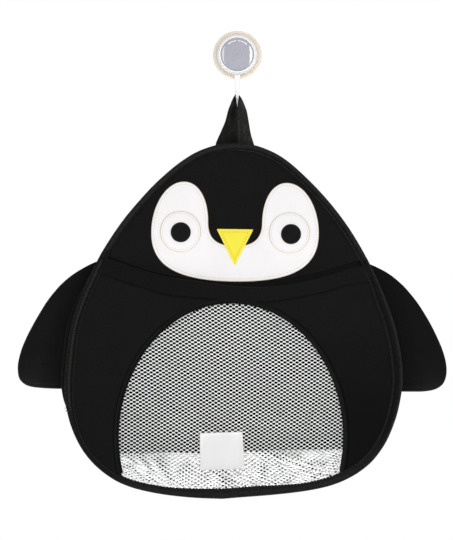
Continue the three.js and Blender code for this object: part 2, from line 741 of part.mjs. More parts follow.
// Binding: a tape folded round a stack of layers along a path. heightAt gives the height that
// the stack's two faces are counted from.
function binding(path, rear, front, heightAt) {
  const low = rear - FIT - TAPE;
  const high = front + FIT + TAPE;
  const section = [
    flat(0, low),
    flat(BINDING, low),
    flat(BINDING, low + TAPE),
    flat(TAPE, low + TAPE),
    flat(TAPE, high - TAPE),
    flat(BINDING, high - TAPE),
    flat(BINDING, high),
    flat(0, high),
  ];
  const lanes = section.map((point) => inset(path, point.x));
  const sections = path.map((_, i) =>
    section.map((point, lane) => place(lanes[lane][i], heightAt(lanes[lane][i]) + point.y)),
  );
  return throughSections(sections, section);
}

// A curved sheet of netting behind the window, with staggered diamond gaps.
function bellyMesh() {
  const columns = 6;
  const rows = 8;
  const half = WINDOW_HALF + NET_MARGIN;
  const top = WINDOW_DROP - WINDOW_RISE - NET_MARGIN;
  const sections = [...Array(columns + 1).keys()].map((i) => {
    const x = THREE.MathUtils.lerp(-half - 1, half + 1, i / columns);
    const drops = [...Array(rows + 1).keys()].map((k) =>
      THREE.MathUtils.lerp(top - 1, BODY_HEIGHT, k / rows),
    );
    return [
      ...drops.map((d) => onBelly(flat(x, d), -FIT - NET)),
      ...drops.reverse().map((d) => onBelly(flat(x, d), -FIT)),
    ];
  });
  const lane = [...Array(rows + 1).keys()];
  const ring = [...lane.map((k) => flat(k, 0)), ...lane.map((k) => flat(rows - k, 1))];
  const sheet = solid(throughSections(sections, ring));
  const round = [...Array(72).keys()].map((k) => windowPoint((k * Math.PI) / 36, NET_MARGIN));
  const far = PATCH_REAR + POCKET_DEPTH + BULGE_TOP + BULGE_BOTTOM;
  const bound = inset(bellyPathFrom(CORNER_DROP), EDGE);
  const window = solid(slab(round, 0, far)).intersect(solid(slab(bound, 0, far)));
  const gapHalf = (NET_PITCH_X - NET_BAR) / 2;
  const gapRise = (NET_PITCH_Z - NET_BAR) / 2;
  const gaps = [];
  for (let row = 0; top + row * (NET_PITCH_Z / 2) < BODY_HEIGHT; row += 1) {
    const d = top + row * (NET_PITCH_Z / 2);
    for (let column = -8; column <= 8; column += 1) {
      const x = (column + (row % 2) / 2) * NET_PITCH_X;
      const corners = [flat(x - gapHalf, d), flat(x, d - gapRise), flat(x + gapHalf, d), flat(x, d + gapRise)];
      const inWindow = corners.every(
        (c) => (c.x / WINDOW_HALF) ** 2 + ((c.y - WINDOW_DROP) / WINDOW_RISE) ** 2 < 0.98,
      );
      if (inWindow && corners.every((c) => insideBy(c) > BINDING + NET_BAR)) gaps.push(corners);
    }
  }
  const cut = gaps.map((corners) => solid(slab(corners, 0, far)));
  return geometryOf(sheet.intersect(window).subtract(wasm.Manifold.union(cut)));
}

// Side gusset: a strip of foam fabric from the back panel to the belly panel.
function gusset(sign) {
  const front = stretch(sign, CORNER_DROP + GUSSET_START, GUSSET_END);
  const back = shifted(front);
  const near = BINDING + GUSSET_INSET;
  const lanes = [
    inset(back, near, sign),
    inset(back, near + FOAM, sign),
    inset(front, near + FOAM, sign),
    inset(front, near, sign),
  ];
  const sections = front.map((_, i) =>
    lanes.map((lane, k) =>
      k < 2 ? place(lane[i], BACK_FRONT + FIT) : onBelly(lane[i], -FIT),
    ),
  );
  return throughSections(sections, [flat(0, 0), flat(1, 0), flat(1, 1), flat(0, 1)]);
}

// Drain mesh: a strip of netting that closes the pocket's bottom. It is sewn to the back panel
// beside its binding and straight across it, and runs forwards and down to the belly's edge.
// Each cell of the strip has a diamond gap.
function drainMesh() {
  const start = GUSSET_END + GUSSET_INSET;
  const deep = BINDING + GUSSET_INSET + NET / 2;
  const beside = resampled(inset(backPathFrom(start), deep + DRAIN_LAP), 200);
  const seam = beside.filter(({ y }) => y < BODY_HEIGHT - DRAIN_SEAM_LIFT);
  const back = resampled(seam, DRAIN_COLUMNS);
  const front = resampled(inset(bellyPathFrom(start), deep), DRAIN_COLUMNS);
  const edges = back.map((point, i) => [
    place(point, BACK_FRONT + FIT),
    onBelly(front[i], -FIT - NET - FIT),
  ]);
  const point = (u, v) => {
    const i = Math.min(Math.floor(u), DRAIN_COLUMNS - 1);
    const [rear, fore] = [0, 1].map((k) => edges[i][k].clone().lerp(edges[i + 1][k], u - i));
    return rear.lerp(fore, v / DRAIN_ROWS);
  };
  const normal = (u, v) => {
    const step = 0.01;
    const along = point(Math.min(u + step, DRAIN_COLUMNS), v).sub(point(Math.max(u - step, 0), v));
    const across = point(u, DRAIN_ROWS).sub(point(u, 0));
    return along.cross(across).setY(0).normalize();
  };
  const points = [];
  const known = new Map();
  const vertex = (u, v, side) => {
    const key = [u.toFixed(4), v.toFixed(4), side].join();
    if (!known.has(key)) {
      known.set(key, points.length);
      points.push(point(u, v).addScaledVector(normal(u, v), (side * NET) / 2));
    }
    return known.get(key);
  };
  const index = [];
  const face = (side, a, b, c) => {
    const [i, j, k] = [a, b, c].map(([u, v]) => vertex(u, v, side));
    index.push(...(side > 0 ? [i, j, k] : [i, k, j]));
  };
  const wall = (a, b) => {
    const [i, j] = [a, b].map(([u, v]) => vertex(u, v, 1));
    const [k, l] = [a, b].map(([u, v]) => vertex(u, v, -1));
    index.push(i, k, j, j, k, l);
  };
  for (let u = 0; u < DRAIN_COLUMNS; u += 1) {
    for (let v = 0; v < DRAIN_ROWS; v += 1) {
      const corner = [
        [u, v],
        [u + 1, v],
        [u + 1, v + 1],
        [u, v + 1],
      ];
      const gap = [
        [u + 0.5, v + DRAIN_BAR],
        [u + 1 - DRAIN_BAR, v + 0.5],
        [u + 0.5, v + 1 - DRAIN_BAR],
        [u + DRAIN_BAR, v + 0.5],
      ];
      for (let k = 0; k < 4; k += 1) {
        const next = (k + 1) % 4;
        for (const side of [1, -1]) {
          face(side, corner[k], corner[next], gap[k]);
          face(side, corner[next], gap[next], gap[k]);
        }
        wall(gap[next], gap[k]);
      }
      if (v === 0) wall(corner[0], corner[1]);
      if (v === DRAIN_ROWS - 1) wall(corner[2], corner[3]);
      if (u === 0) wall(corner[3], corner[0]);
      if (u === DRAIN_COLUMNS - 1) wall(corner[1], corner[2]);
    }
  }
  const geometry = new THREE.BufferGeometry().setFromPoints(points);
  geometry.setIndex(index);
  return closed(geometry);
}

// Outer edge of a flipper from its top to its lower corner.
const FLIPPER_BOTTOM = FLIPPER_TOP + FLIPPER_HEIGHT;
function flipperEdge(sign) {
  const start = atDrop(HALVES.get(sign), FLIPPER_TOP);
  const tip = flat(sign * FLIPPER_TIP, FLIPPER_TIP_DROP);
  const upper = new THREE.CubicBezierCurve(
    start,
    flat(start.x + sign * FLIPPER_SHOULDER, FLIPPER_TOP + FLIPPER_SHOULDER_DROP),
    flat(tip.x - sign * FLIPPER_FLARE, FLIPPER_TIP_DROP - FLIPPER_SIDE),
    tip,
  );
  const corner = new THREE.QuadraticBezierCurve(
    tip,
    flat(tip.x, FLIPPER_BOTTOM),
    flat(tip.x - sign * FLIPPER_CORNER, FLIPPER_BOTTOM),
  );
  return [...upper.getPoints(16), ...corner.getPoints(6).slice(1)];
}

// Hinge line of a flipper: straight, along the seam and just outside the bindings.
function hingeLine(sign) {
  const seam = stretch(sign, FLIPPER_TOP, FLIPPER_BOTTOM);
  const along = seam.at(-1).clone().sub(seam[0]).normalize();
  const outwards = flat(sign * along.y, -sign * along.x);
  const far = Math.max(
    ...[...seam, ...shifted(seam)].map((point) => point.clone().sub(seam[0]).dot(outwards)),
  );
  const start = seam[0].clone().addScaledVector(outwards, far + HINGE_CLEAR);
  const xAt = (d) => start.x + ((d - start.y) * along.x) / along.y;
  return { along, xAt };
}

// Where a flipper's outer edge crosses its hinge line.
function hingeTop(sign) {
  const { xAt } = hingeLine(sign);
  return flipperEdge(sign).find(({ x, y }) => sign * (x - xAt(y)) > 4 * HINGE_GAP).y;
}

function flipperRoot(sign) {
  const { xAt } = hingeLine(sign);
  const top = hingeTop(sign);
  const seam = shifted(stretch(sign, FLIPPER_TOP, FLIPPER_BOTTOM - 2));
  const tucked = inset(seam, FLIPPER_TUCK, sign);
  const outer = [top, FLIPPER_BOTTOM].map((d) => flat(xAt(d) - (sign * HINGE_GAP) / 2, d));
  return slab([...tucked, outer[1], outer[0]], WALL_GAP, TAB_FRONT);
}

// Flipper: a padded paddle, flat on its back, thickest in its middle.
function flipper(sign) {
  const { xAt } = hingeLine(sign);
  const top = hingeTop(sign);
  const edge = flipperEdge(sign);
  const shares = [0, 0.15, 0.35, 0.55, 0.75, 0.9, 1];
  const sections = [...Array(FLIPPER_STEPS + 1).keys()].map((i) => {
    const level = i / FLIPPER_STEPS;
    const d = THREE.MathUtils.lerp(top, FLIPPER_BOTTOM, level);
    const from = xAt(d) + (sign * HINGE_GAP) / 2;
    const to = atDrop(edge, d).x;
    const thickness = (share) =>
      FOAM * (1 - 0.45 * smooth((share - 0.7) / 0.3)) +
      FLIPPER_SWELL * Math.sin(Math.PI * share) * Math.sin(Math.PI * (0.1 + 0.8 * level));
    const at = (share) => flat(THREE.MathUtils.lerp(from, to, share), d);
    return [
      ...shares.map((share) => place(at(share), WALL_GAP)),
      ...shares.slice().reverse().map((share) => place(at(share), WALL_GAP + thickness(share))),
    ];
  });
  const ring = [
    ...shares.map((share) => flat(share, 0)),
    ...shares.slice().reverse().map((share) => flat(share, 1)),
  ];
  return throughSections(sections, ring);
}

// Face patch: white vinyl with two round lobes and a notch between them.
function facePatch() {
  const curve = (sign, ...points) =>
    new THREE.CubicBezierCurve(...points.map(([x, d]) => flat(FACE_SHIFT + sign * x, d)));
  const half = (sign) => [
    ...curve(
      sign,
      [0, NOTCH_BOTTOM],
      [NOTCH_HALF * 0.7, NOTCH_BOTTOM],
      [NOTCH_HALF, NOTCH_BOTTOM - 8],
      [NOTCH_HALF, NOTCH_SIDE],
    ).getPoints(FACE_STEPS),
    ...curve(
      sign,
      [NOTCH_HALF, NOTCH_SIDE],
      [NOTCH_HALF, NOTCH_SIDE - 23],
      [LOBE_TOP_X - 16, LOBE_TOP],
      [LOBE_TOP_X, LOBE_TOP],
    )
      .getPoints(FACE_STEPS)
      .slice(1),
    ...curve(
      sign,
      [LOBE_TOP_X, LOBE_TOP],
      [LOBE_TOP_X + 19, LOBE_TOP],
      [FACE_HALF, FACE_WIDEST - 28],
      [FACE_HALF, FACE_WIDEST],
    )
      .getPoints(FACE_STEPS)
      .slice(1),
    ...curve(
      sign,
      [FACE_HALF, FACE_WIDEST],
      [FACE_HALF, FACE_WIDEST + 34],
      [FACE_HALF - 25, FACE_BOTTOM],
      [0, FACE_BOTTOM],
    )
      .getPoints(FACE_STEPS)
      .slice(1),
  ];
  return slab([...half(1), ...half(-1).slice(1, -1).reverse()], PATCH_REAR, PATCH_FRONT);
}

// A round piece of vinyl on the face.
function disc(x, d, radius, rear, front) {
  const made = new THREE.CylinderGeometry(radius, radius, front - rear, 48);
  made.translate(FACE_SHIFT + x, -(rear + front) / 2, -d);
  return closed(made);
}

function beak() {
  const corners = [
    flat(FACE_SHIFT - BEAK_HALF, BEAK_TOP),
    flat(FACE_SHIFT + BEAK_HALF, BEAK_TOP),
    flat(FACE_SHIFT, BEAK_TIP),
  ];
  return slab(corners, EYE_REAR, EYE_FRONT);
}

// Label: a small woven rectangle that follows the mesh.
function label() {
  const middle = flat(LABEL_X, BODY_HEIGHT - LABEL_LIFT);
  const columns = [-0.5, -0.25, 0, 0.25, 0.5];
  const rows = [-0.5, 0, 0.5];
  const at = (u, v) =>
    flat(middle.x + u * LABEL_WIDTH, middle.y + v * LABEL_HEIGHT).rotateAround(middle, LABEL_TURN);
  const sections = columns.map((u) => [
    ...rows.map((v) => onBelly(at(u, v), 0)),
    ...rows.slice().reverse().map((v) => onBelly(at(u, v), LABEL)),
  ]);
  const ring = [...rows.map((v) => flat(v, 0)), ...rows.slice().reverse().map((v) => flat(v, 1))];
  return throughSections(sections, ring);
}

// A group that turns about a place of its parent's frame. Pieces made in the parent's frame
// are carried over into the group's own.
function pivot(name, parent, x, h, below, turn = 0) {
  const group = new THREE.Group();
  group.name = name;
  group.position.set(x, -h, -below);
  group.rotation.y = turn;
  group.updateMatrix();
  parent.add(group);
  return group;
}
function carry(group, ...pieces) {
  const back = group.matrix.clone().invert();
  for (const made of pieces) {
    made.geometry.applyMatrix4(back);
    group.add(made);
  }
}

const organizer = new THREE.Group();
organizer.name = "bath_toy_organizer";
organizer.add(
  piece("suction_cup", suctionCup(), CLEAR_SOFT),
  piece("hook_housing", hookHousing(), WHITE_PLASTIC),
  piece("slip_washer", slipWasher(), WHITE_PLASTIC),
);

const knob = pivot("knob", organizer, 0, 0, 0);
carry(
  knob,
  piece("cam_knob", camKnob(), WHITE_PLASTIC),
  piece("knob_lens", knobLens(), GREY_CLEAR),
);

const stem = pivot("stem", organizer, 0, 0, 0);
carry(
  stem,
  piece("cup_stem", cupStem(), WHITE_PLASTIC),
  piece("stem_cross_pin", crossPin(PIN_RADIUS, PIN_LENGTH), STEEL),
);

const loop = pivot("loop", organizer, 0, HOOK_HEIGHT, LOOP_HANG);
carry(loop, piece("hang_loop", hangLoop(), BLACK_FOAM));

// The bag folds forwards about the front of its root.
const bag = pivot("bag", loop, BAG_SHIFT, TAB_FRONT - HOOK_HEIGHT, BAG_TOP - LOOP_HANG, LEAN);
const bagPieces = [
  piece("loop_root", loopRoot(), BLACK_FOAM),
  piece("back_panel", backPanel(), BLACK_FOAM),
  piece("head_panel", headPanel(), BLACK_FOAM),
  piece("belly_panel", bellyPanel(), BLACK_FOAM),
  piece("rim_facing", rimFacing(), BLACK_FOAM),
  piece("window_binding", windowBinding(), BLACK_TAPE),
  piece("belly_mesh", bellyMesh(), WHITE_NET),
  piece("drain_mesh", drainMesh(), WHITE_NET),
  piece("gusset_left", gusset(-1), BLACK_FOAM),
  piece("gusset_right", gusset(1), BLACK_FOAM),
  piece("head_binding", binding(headPath, BACK_REAR, HEAD_FRONT, () => 0), BLACK_TAPE),
  piece("back_binding", binding(backPathFrom(CORNER_DROP), BACK_REAR, BACK_FRONT, () => 0), BLACK_TAPE),
  piece(
    "belly_binding",
    binding(bellyPathFrom(CORNER_DROP + BELLY_BINDING_START), -FIT - NET, FOAM, bellyHeight),
    BLACK_TAPE,
  ),
  piece("flipper_root_left", flipperRoot(-1), BLACK_FOAM),
  piece("flipper_root_right", flipperRoot(1), BLACK_FOAM),
  piece("face_patch", facePatch(), WHITE_VINYL),
  piece("eye_disc_left", disc(-EYE_X, EYE_DROP, EYE_RADIUS, EYE_REAR, EYE_FRONT), WHITE_VINYL),
  piece("eye_disc_right", disc(EYE_X, EYE_DROP, EYE_RADIUS, EYE_REAR, EYE_FRONT), WHITE_VINYL),
  piece("beak", beak(), YELLOW_VINYL),
  piece("label", label(), WHITE_WEAVE),
];
const PUPIL_REAR = EYE_FRONT + FIT;
for (const [name, x] of [
  ["pupil_left", -EYE_X],
  ["pupil_right", EYE_X],
]) {
  bagPieces.push(
    piece(name, disc(x, EYE_DROP, PUPIL_RADIUS, PUPIL_REAR, PUPIL_REAR + PUPIL), BLACK_VINYL),
  );
}

// The bag's pieces are made with heights from the wall, and the bag's own frame lies at its fold.
function hang(made) {
  made.geometry.translate(0, TAB_FRONT, 0);
  return made;
}
bag.add(...bagPieces.map(hang));

// Each flipper folds forwards about its hinge line, at the front of its root.
for (const [name, sign] of [
  ["flipper_left", -1],
  ["flipper_right", 1],
]) {
  const { along, xAt } = hingeLine(sign);
  const middle = (hingeTop(sign) + FLIPPER_BOTTOM) / 2;
  const turn = Math.atan2(-along.x, along.y);
  const group = pivot(name + "_hinge", bag, xAt(middle), 0, middle, turn);
  carry(group, hang(piece(name, flipper(sign), BLACK_FOAM)));
}

export default organizer;
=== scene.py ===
# Looks of a bath toy organizer: a penguin-shaped hanging bag of black foam fabric with a mesh
# belly, which hangs by its tuft from the hook of a twist-lock suction cup.
import json

import bmesh
import bpy
import numpy as np
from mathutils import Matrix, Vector


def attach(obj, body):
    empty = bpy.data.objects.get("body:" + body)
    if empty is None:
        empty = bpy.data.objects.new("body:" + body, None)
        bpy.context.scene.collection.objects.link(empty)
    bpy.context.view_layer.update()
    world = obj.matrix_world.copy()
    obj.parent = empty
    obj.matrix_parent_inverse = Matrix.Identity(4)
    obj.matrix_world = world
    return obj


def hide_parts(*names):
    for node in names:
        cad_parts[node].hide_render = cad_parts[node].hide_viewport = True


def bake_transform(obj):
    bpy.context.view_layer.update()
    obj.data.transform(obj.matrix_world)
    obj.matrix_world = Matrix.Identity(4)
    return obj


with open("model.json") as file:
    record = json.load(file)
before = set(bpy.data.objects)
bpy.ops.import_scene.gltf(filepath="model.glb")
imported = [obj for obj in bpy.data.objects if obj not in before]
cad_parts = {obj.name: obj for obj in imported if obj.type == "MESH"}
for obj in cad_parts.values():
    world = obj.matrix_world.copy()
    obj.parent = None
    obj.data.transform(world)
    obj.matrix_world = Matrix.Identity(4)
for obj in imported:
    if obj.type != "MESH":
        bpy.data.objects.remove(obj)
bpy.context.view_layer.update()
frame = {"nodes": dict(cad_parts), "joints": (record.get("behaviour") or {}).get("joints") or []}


# Studio: a pale floor well below the hanging bag, a white surround, a tall soft lamp at each
# side, a wide one in front and a narrow one right below the mesh bottom. The camera looks
# straight at the bag, and one pixel of a picture of 453 by 540 is 1.045 mm there.
PICTURE = (453, 540)
PIXEL = 0.001045  # metres
CUP_PIXEL = (237.3, 54.2)  # the cup's middle in the picture
CAMERA_AWAY = 4.0
FRONT = -0.02  # the plane of the bag that the picture is scaled to
AMBIENT = 0.44
FLOOR_LEVEL, FLOOR_REACH = -1.1, 30.0
FADE = (1.0, 2.0)  # distances from the middle of the floor between which it turns white


def add(tree, kind, inputs=None, **settings):
    """A shader node with its settings. An input that is a socket is linked, others are set."""
    made = tree.nodes.new("ShaderNode" + kind)
    for key, value in settings.items():
        setattr(made, key, value)
    for key, value in (inputs or {}).items():
        if isinstance(value, bpy.types.NodeSocket):
            tree.links.new(value, made.inputs[key])
        else:
            made.inputs[key].default_value = value
    return made


def math(tree, operation, first, second=0.0, third=0.0):
    """The output of one sum on numbers or sockets."""
    return add(tree, "Math", {0: first, 1: second, 2: third}, operation=operation).outputs[0]


def smooth_step(tree, value, low, high):
    """The output of an S-shaped rise from 0 at a low value to 1 at a high one."""
    return add(tree, "MapRange", {0: value, 1: low, 2: high}, interpolation_type="SMOOTHSTEP").outputs[0]


def aim(thing, place, target):
    """Puts a lamp or the camera at a place, facing a target."""
    thing.location = place
    way = Vector(target) - Vector(place)
    thing.rotation_euler = way.to_track_quat("-Z", "Y").to_euler()
    bpy.context.scene.collection.objects.link(thing)


scene = bpy.context.scene
scene.view_settings.view_transform = "Standard"
middle_x = (PICTURE[0] / 2 - CUP_PIXEL[0]) * PIXEL
middle_z = (CUP_PIXEL[1] - PICTURE[1] / 2) * PIXEL
camera = bpy.data.objects.new("camera", bpy.data.cameras.new("camera"))
aim(camera, (middle_x, FRONT - CAMERA_AWAY, middle_z), (middle_x, FRONT, middle_z))
camera.data.sensor_width = 36
camera.data.lens = 36 * CAMERA_AWAY / (PICTURE[1] * PIXEL)
camera.data.clip_end = 100
scene.camera = camera

LAMPS = {  # place, target, width, height, watts, whether shiny things mirror it
    "lamp_right": ((1.47, -1.88, -0.30), (0, 0, -0.2), 0.36, 2.8, 14.0, True),
    "lamp_left": ((-1.56, -1.81, -0.20), (0, 0, -0.2), 0.46, 2.4, 7.5, True),
    "lamp_front": ((0.1, -3.9, 0.45), (0, 0, -0.22), 2.0, 1.8, 60.0, False),
    "lamp_below": ((0.0, -0.035, -1.02), (0, -0.03, -0.45), 0.9, 0.1, 23.0, False),
}
for name, (place, target, width, height, watts, mirrored) in LAMPS.items():
    light = bpy.data.lights.new(name, "AREA")
    light.shape, light.size, light.size_y, light.energy = "RECTANGLE", width, height, watts
    lamp = bpy.data.objects.new(name, light)
    lamp.visible_camera = False
    lamp.visible_glossy = mirrored
    aim(lamp, place, target)


def seen_directly(tree):
    """1 for rays from the camera, a mirror or glass, and 0 for the light that falls on things."""
    path = add(tree, "LightPath").outputs
    mirror = math(tree, "MAXIMUM", path["Is Glossy Ray"], path["Is Transmission Ray"])
    return math(tree, "MAXIMUM", path["Is Camera Ray"], mirror)


surround = bpy.data.worlds.new("surround")
surround.use_nodes = True
scene.world = surround
tree = surround.node_tree
strength = math(tree, "MULTIPLY_ADD", seen_directly(tree), 1 - AMBIENT, AMBIENT)
tree.links.new(strength, tree.nodes["Background"].inputs["Strength"])
tree.nodes["Background"].inputs["Color"].default_value = (1, 1, 1, 1)

floor_mesh = bpy.data.meshes.new("floor")
corners = np.array([(-1, -1), (1, -1), (1, 1), (-1, 1)]) * FLOOR_REACH
floor_mesh.from_pydata([(x, y, FLOOR_LEVEL) for x, y in corners], [], [(0, 1, 2, 3)])
floor = bpy.data.objects.new("floor", floor_mesh)
scene.collection.objects.link(floor)
floor_paint = bpy.data.materials.new("floor_paint")
floor_paint.use_nodes = True
floor_mesh.materials.append(floor_paint)
tree = floor_paint.node_tree
paint = tree.nodes["Principled BSDF"]
paint.inputs["Base Color"].default_value = (0.86, 0.86, 0.86, 1)
paint.inputs["Roughness"].default_value = 0.9
paint.inputs["Specular IOR Level"].default_value = 0.1
far = add(tree, "VectorMath", {0: add(tree, "TexCoord").outputs["Object"]}, operation="LENGTH")
white = math(tree, "MULTIPLY", smooth_step(tree, far.outputs["Value"], *FADE), seen_directly(tree))
glow = add(tree, "Emission", {"Color": (1, 1, 1, 1), "Strength": 1.0})
top = add(tree, "MixShader", {0: white, 1: paint.outputs[0], 2: glow.outputs[0]})
under = add(tree, "NewGeometry").outputs["Backfacing"]
clear = add(tree, "BsdfTransparent").outputs[0]
seen = add(tree, "MixShader", {0: under, 1: top.outputs[0], 2: clear})
tree.links.new(seen.outputs[0], tree.nodes["Material Output"].inputs["Surface"])


# Suction cup: a disc of soft, beige clear plastic, 51 mm across, moulded in one with a boss that
# holds the stem's foot. It is thin and paler at its lip, and bears on the wall with a flat ring.
CUP_PROFILE = [  # radius and height from the wall, from the axis behind to the axis in front
    (0, 2.4), (10.75, 2.16), (17.2, 1.2), (21.5, 0), (25.3, 0), (25.5, 0.5), (25.2, 1.15),
    (24.3, 1.62), (23.7, 1.66), (21.4, 2.5), (7, 7.1), (7, 9), (3.2, 9), (3.2, 6.6), (4.8, 6.6),
    (4.8, 4.6), (0, 4.6),
]
CUP_BEIGE = (0.71, 0.61, 0.49, 1)
CUP_LIP_BEIGE = (0.82, 0.765, 0.68, 1)
CUP_LIP = (0.0215, 0.0257)  # radii in metres between which the plastic turns paler


def finish(name, inputs):
    """A material of one Principled shader with its sockets set: the material, its tree and shader."""
    made = bpy.data.materials.new(name)
    made.use_nodes = True
    shader = made.node_tree.nodes["Principled BSDF"]
    for key, value in inputs.items():
        shader.inputs[key].default_value = value
    return made, made.node_tree, shader


def mottled(tree, shader, scale, dark, light, texture=None):
    """Colour that drifts between two tones with a soft noise over the object, or with a texture."""
    where = add(tree, "TexCoord").outputs["Object"]
    noise = add(tree, "TexNoise", {"Vector": where, "Scale": scale, "Detail": 3.0})
    share = texture if texture is not None else noise.outputs["Fac"]
    mixed = add(tree, "MixRGB", {"Fac": share, "Color1": dark, "Color2": light})
    tree.links.new(mixed.outputs[0], shader.inputs["Base Color"])
    return mixed


def embossed(tree, shader, height, depth):
    """Small relief: a texture's value times a depth in metres, as bump."""
    bump = add(tree, "Bump", {"Height": height, "Distance": depth, "Strength": 1.0})
    tree.links.new(bump.outputs[0], shader.inputs["Normal"])


def from_axis(tree):
    """The output of a point's distance from the cup's axis, in metres."""
    where = add(tree, "TexCoord").outputs["Object"]
    flat = add(tree, "VectorMath", {0: where, 1: (1, 0, 1)}, operation="MULTIPLY").outputs[0]
    return add(tree, "VectorMath", {0: flat}, operation="LENGTH").outputs["Value"]


def eased(corners, reach, closed=True):
    """A line of corners with each corner rounded by a parabola that starts and ends a reach,
    or half an edge where that is shorter, from the corner."""
    p = np.asarray(corners, float)
    reach = np.broadcast_to(reach, len(p))[:, None]

    def towards(other):
        """From each corner towards another point, by the reach or nearly half the way."""
        way = other - p
        long = np.maximum(np.linalg.norm(way, axis=1, keepdims=True), 1e-9)
        return p + way / long * np.minimum(reach, 0.49 * long)

    before, after = towards(np.roll(p, 1, 0)), towards(np.roll(p, -1, 0))
    t = np.linspace(0, 1, 5)[:, None, None]
    line = (1 - t) ** 2 * before + 2 * t * (1 - t) * p + t**2 * after
    line = line.transpose(1, 0, 2).reshape(-1, p.shape[1])
    return line if closed else np.vstack([p[:1], line[5:-5], p[-1:]])


def turned(profile, steps=96):
    """A turned surface: each (radius r, height h) of a profile carried round the cup's axis by
    the angle u, to (r cos u, -h, r sin u)."""
    r, h = np.asarray(profile, float).T[:, :, None]
    u = np.arange(steps) * 2 * np.pi / steps
    return np.stack(np.broadcast_arrays(r * np.cos(u), -h, r * np.sin(u)), -1)


def skin(name, shells, material, body=None, replaces=(), crease=40, cut=None, rings=()):
    """One closed mesh from grids of points in millimetres.

    A shell is a grid, rows by columns by 3, or a pile of such grids. Each row closes on itself,
    and in rings the last row also meets the first. Neighbours are joined by four-sided faces, and
    a shell's first and last row is closed by one face, or a pole where its points coincide. The
    UV map is the length run along the columns and the rows, in metres. cut is a value for each
    row, or each point, of a single shell, kept as an attribute.
    """
    vertices, faces, lengths, start = [], [], [], 0
    for points, ring in [(grid, True) for grid in rings] + [(grid, False) for grid in shells]:
        pile = points.reshape(-1, *points.shape[-3:]) / 1000
        count, m, n = pile.shape[:3]
        i, j = np.meshgrid(np.arange(m - 1 + ring), np.arange(n), indexing="ij")
        i = np.stack([i, i, i + 1, i + 1], -1).reshape(-1, 4)
        j = np.stack([j, j + 1, j + 1, j], -1).reshape(-1, 4)
        first = start + np.arange(count)[:, None, None] * m * n
        faces += ((i % m) * n + j % n + first).reshape(-1, 4).tolist()
        down = np.linalg.norm(np.roll(pile[0], -1, 0) - pile[0], axis=2).mean(1).cumsum()
        along = np.linalg.norm(np.roll(pile[0], -1, 1) - pile[0], axis=2).mean(0).cumsum()
        run = np.stack([np.append(0, along)[j], np.append(0, down)[i]], -1)
        lengths.append(np.tile(run.reshape(-1, 2), (count, 1)))
        for row in (0, m - 1):
            if not ring and np.ptp(pile[0, row], axis=0).max() > 1e-6:
                ends = first[:, 0] + row * n + np.arange(n)
                faces += ends.tolist()
                lengths.append(np.zeros((count * n, 2)))
        vertices.append(pile.reshape(-1, 3))
        start += count * m * n
    if cut is not None:
        cut = np.broadcast_to(np.reshape(cut, (count, m, -1)), (count, m, n)).ravel()
    vertices, lengths = np.vstack(vertices), np.vstack(lengths)
    return made_mesh(name, vertices, faces, lengths, material, body, replaces, crease, cut)


def made_mesh(name, vertices, faces, lengths, material, body=None, replaces=(), crease=40, cut=None):
    """An object from points in metres and faces: doubled points joined, faces turned out."""
    mesh = bpy.data.meshes.new(name)
    mesh.from_pydata(vertices.tolist(), [], faces)
    if lengths is not None:
        mesh.uv_layers.new(name="lengths").data.foreach_set("uv", lengths.ravel())
    if cut is not None:
        mesh.attributes.new("cut", "FLOAT", "POINT").data.foreach_set("value", cut.astype(np.float32))
    work = bmesh.new()
    work.from_mesh(mesh)
    bmesh.ops.remove_doubles(work, verts=work.verts, dist=1e-7)
    bmesh.ops.recalc_face_normals(work, faces=work.faces)
    work.to_mesh(mesh)
    work.free()
    mesh.polygons.foreach_set("use_smooth", np.ones(len(mesh.polygons), bool))
    mesh.set_sharp_from_angle(angle=np.radians(crease))
    mesh.materials.append(material)
    made = bpy.data.objects.new(name, mesh)
    scene.collection.objects.link(made)
    if replaces:
        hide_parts(*replaces)
    if body:
        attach(made, body)
    return made


soft_clear, tree, shader = finish("soft_clear_plastic", {"Roughness": 0.4, "IOR": 1.46})
lip = smooth_step(tree, from_axis(tree), *CUP_LIP)
mottled(tree, shader, 40, CUP_BEIGE, CUP_LIP_BEIGE, lip)
cup = skin(
    "suction_cup_soft", [turned(eased(CUP_PROFILE, 0.3, closed=False))],
    soft_clear, replaces=["suction_cup"],
)
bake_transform(cup)


# Hook housing: a white moulded ring that bears on the cup, with a floor for the knob and, in one
# piece with it, a flat J-shaped arm that narrows downwards and turns up at the front.
HOUSING_PROFILE = [
    (21.4, 2.81), (21.4, 5.0), (21.3, 9.0), (20.9, 12.0), (20.2, 13.8), (19.2, 14.6), (19.2, 11.4),
    (3.4, 11.4), (3.4, 9.6), (18.6, 9.6), (18.6, 3.71),
]
ARM_BACK, ARM_THICKNESS = 3.6, 3.4
ARM_WIDTHS = (  # heights from the cup's middle, and the arm's width there
    [-60, -37, -29, -25, -20.5, -18],
    [3.7, 3.8, 4.6, 5.8, 7.2, 7.6],
)
ARM_TOP, BEND_LEVEL, BEND_RADIUS, TIP_LEVEL = -19.0, -53.3, 4.9, -46.5
white_plastic, tree, shader = finish(
    "white_moulded_plastic", {"Roughness": 0.3, "IOR": 1.55, "Coat Weight": 0.3, "Coat Roughness": 0.2}
)
mottled(tree, shader, 60, (0.905, 0.90, 0.90, 1), (0.935, 0.935, 0.935, 1))


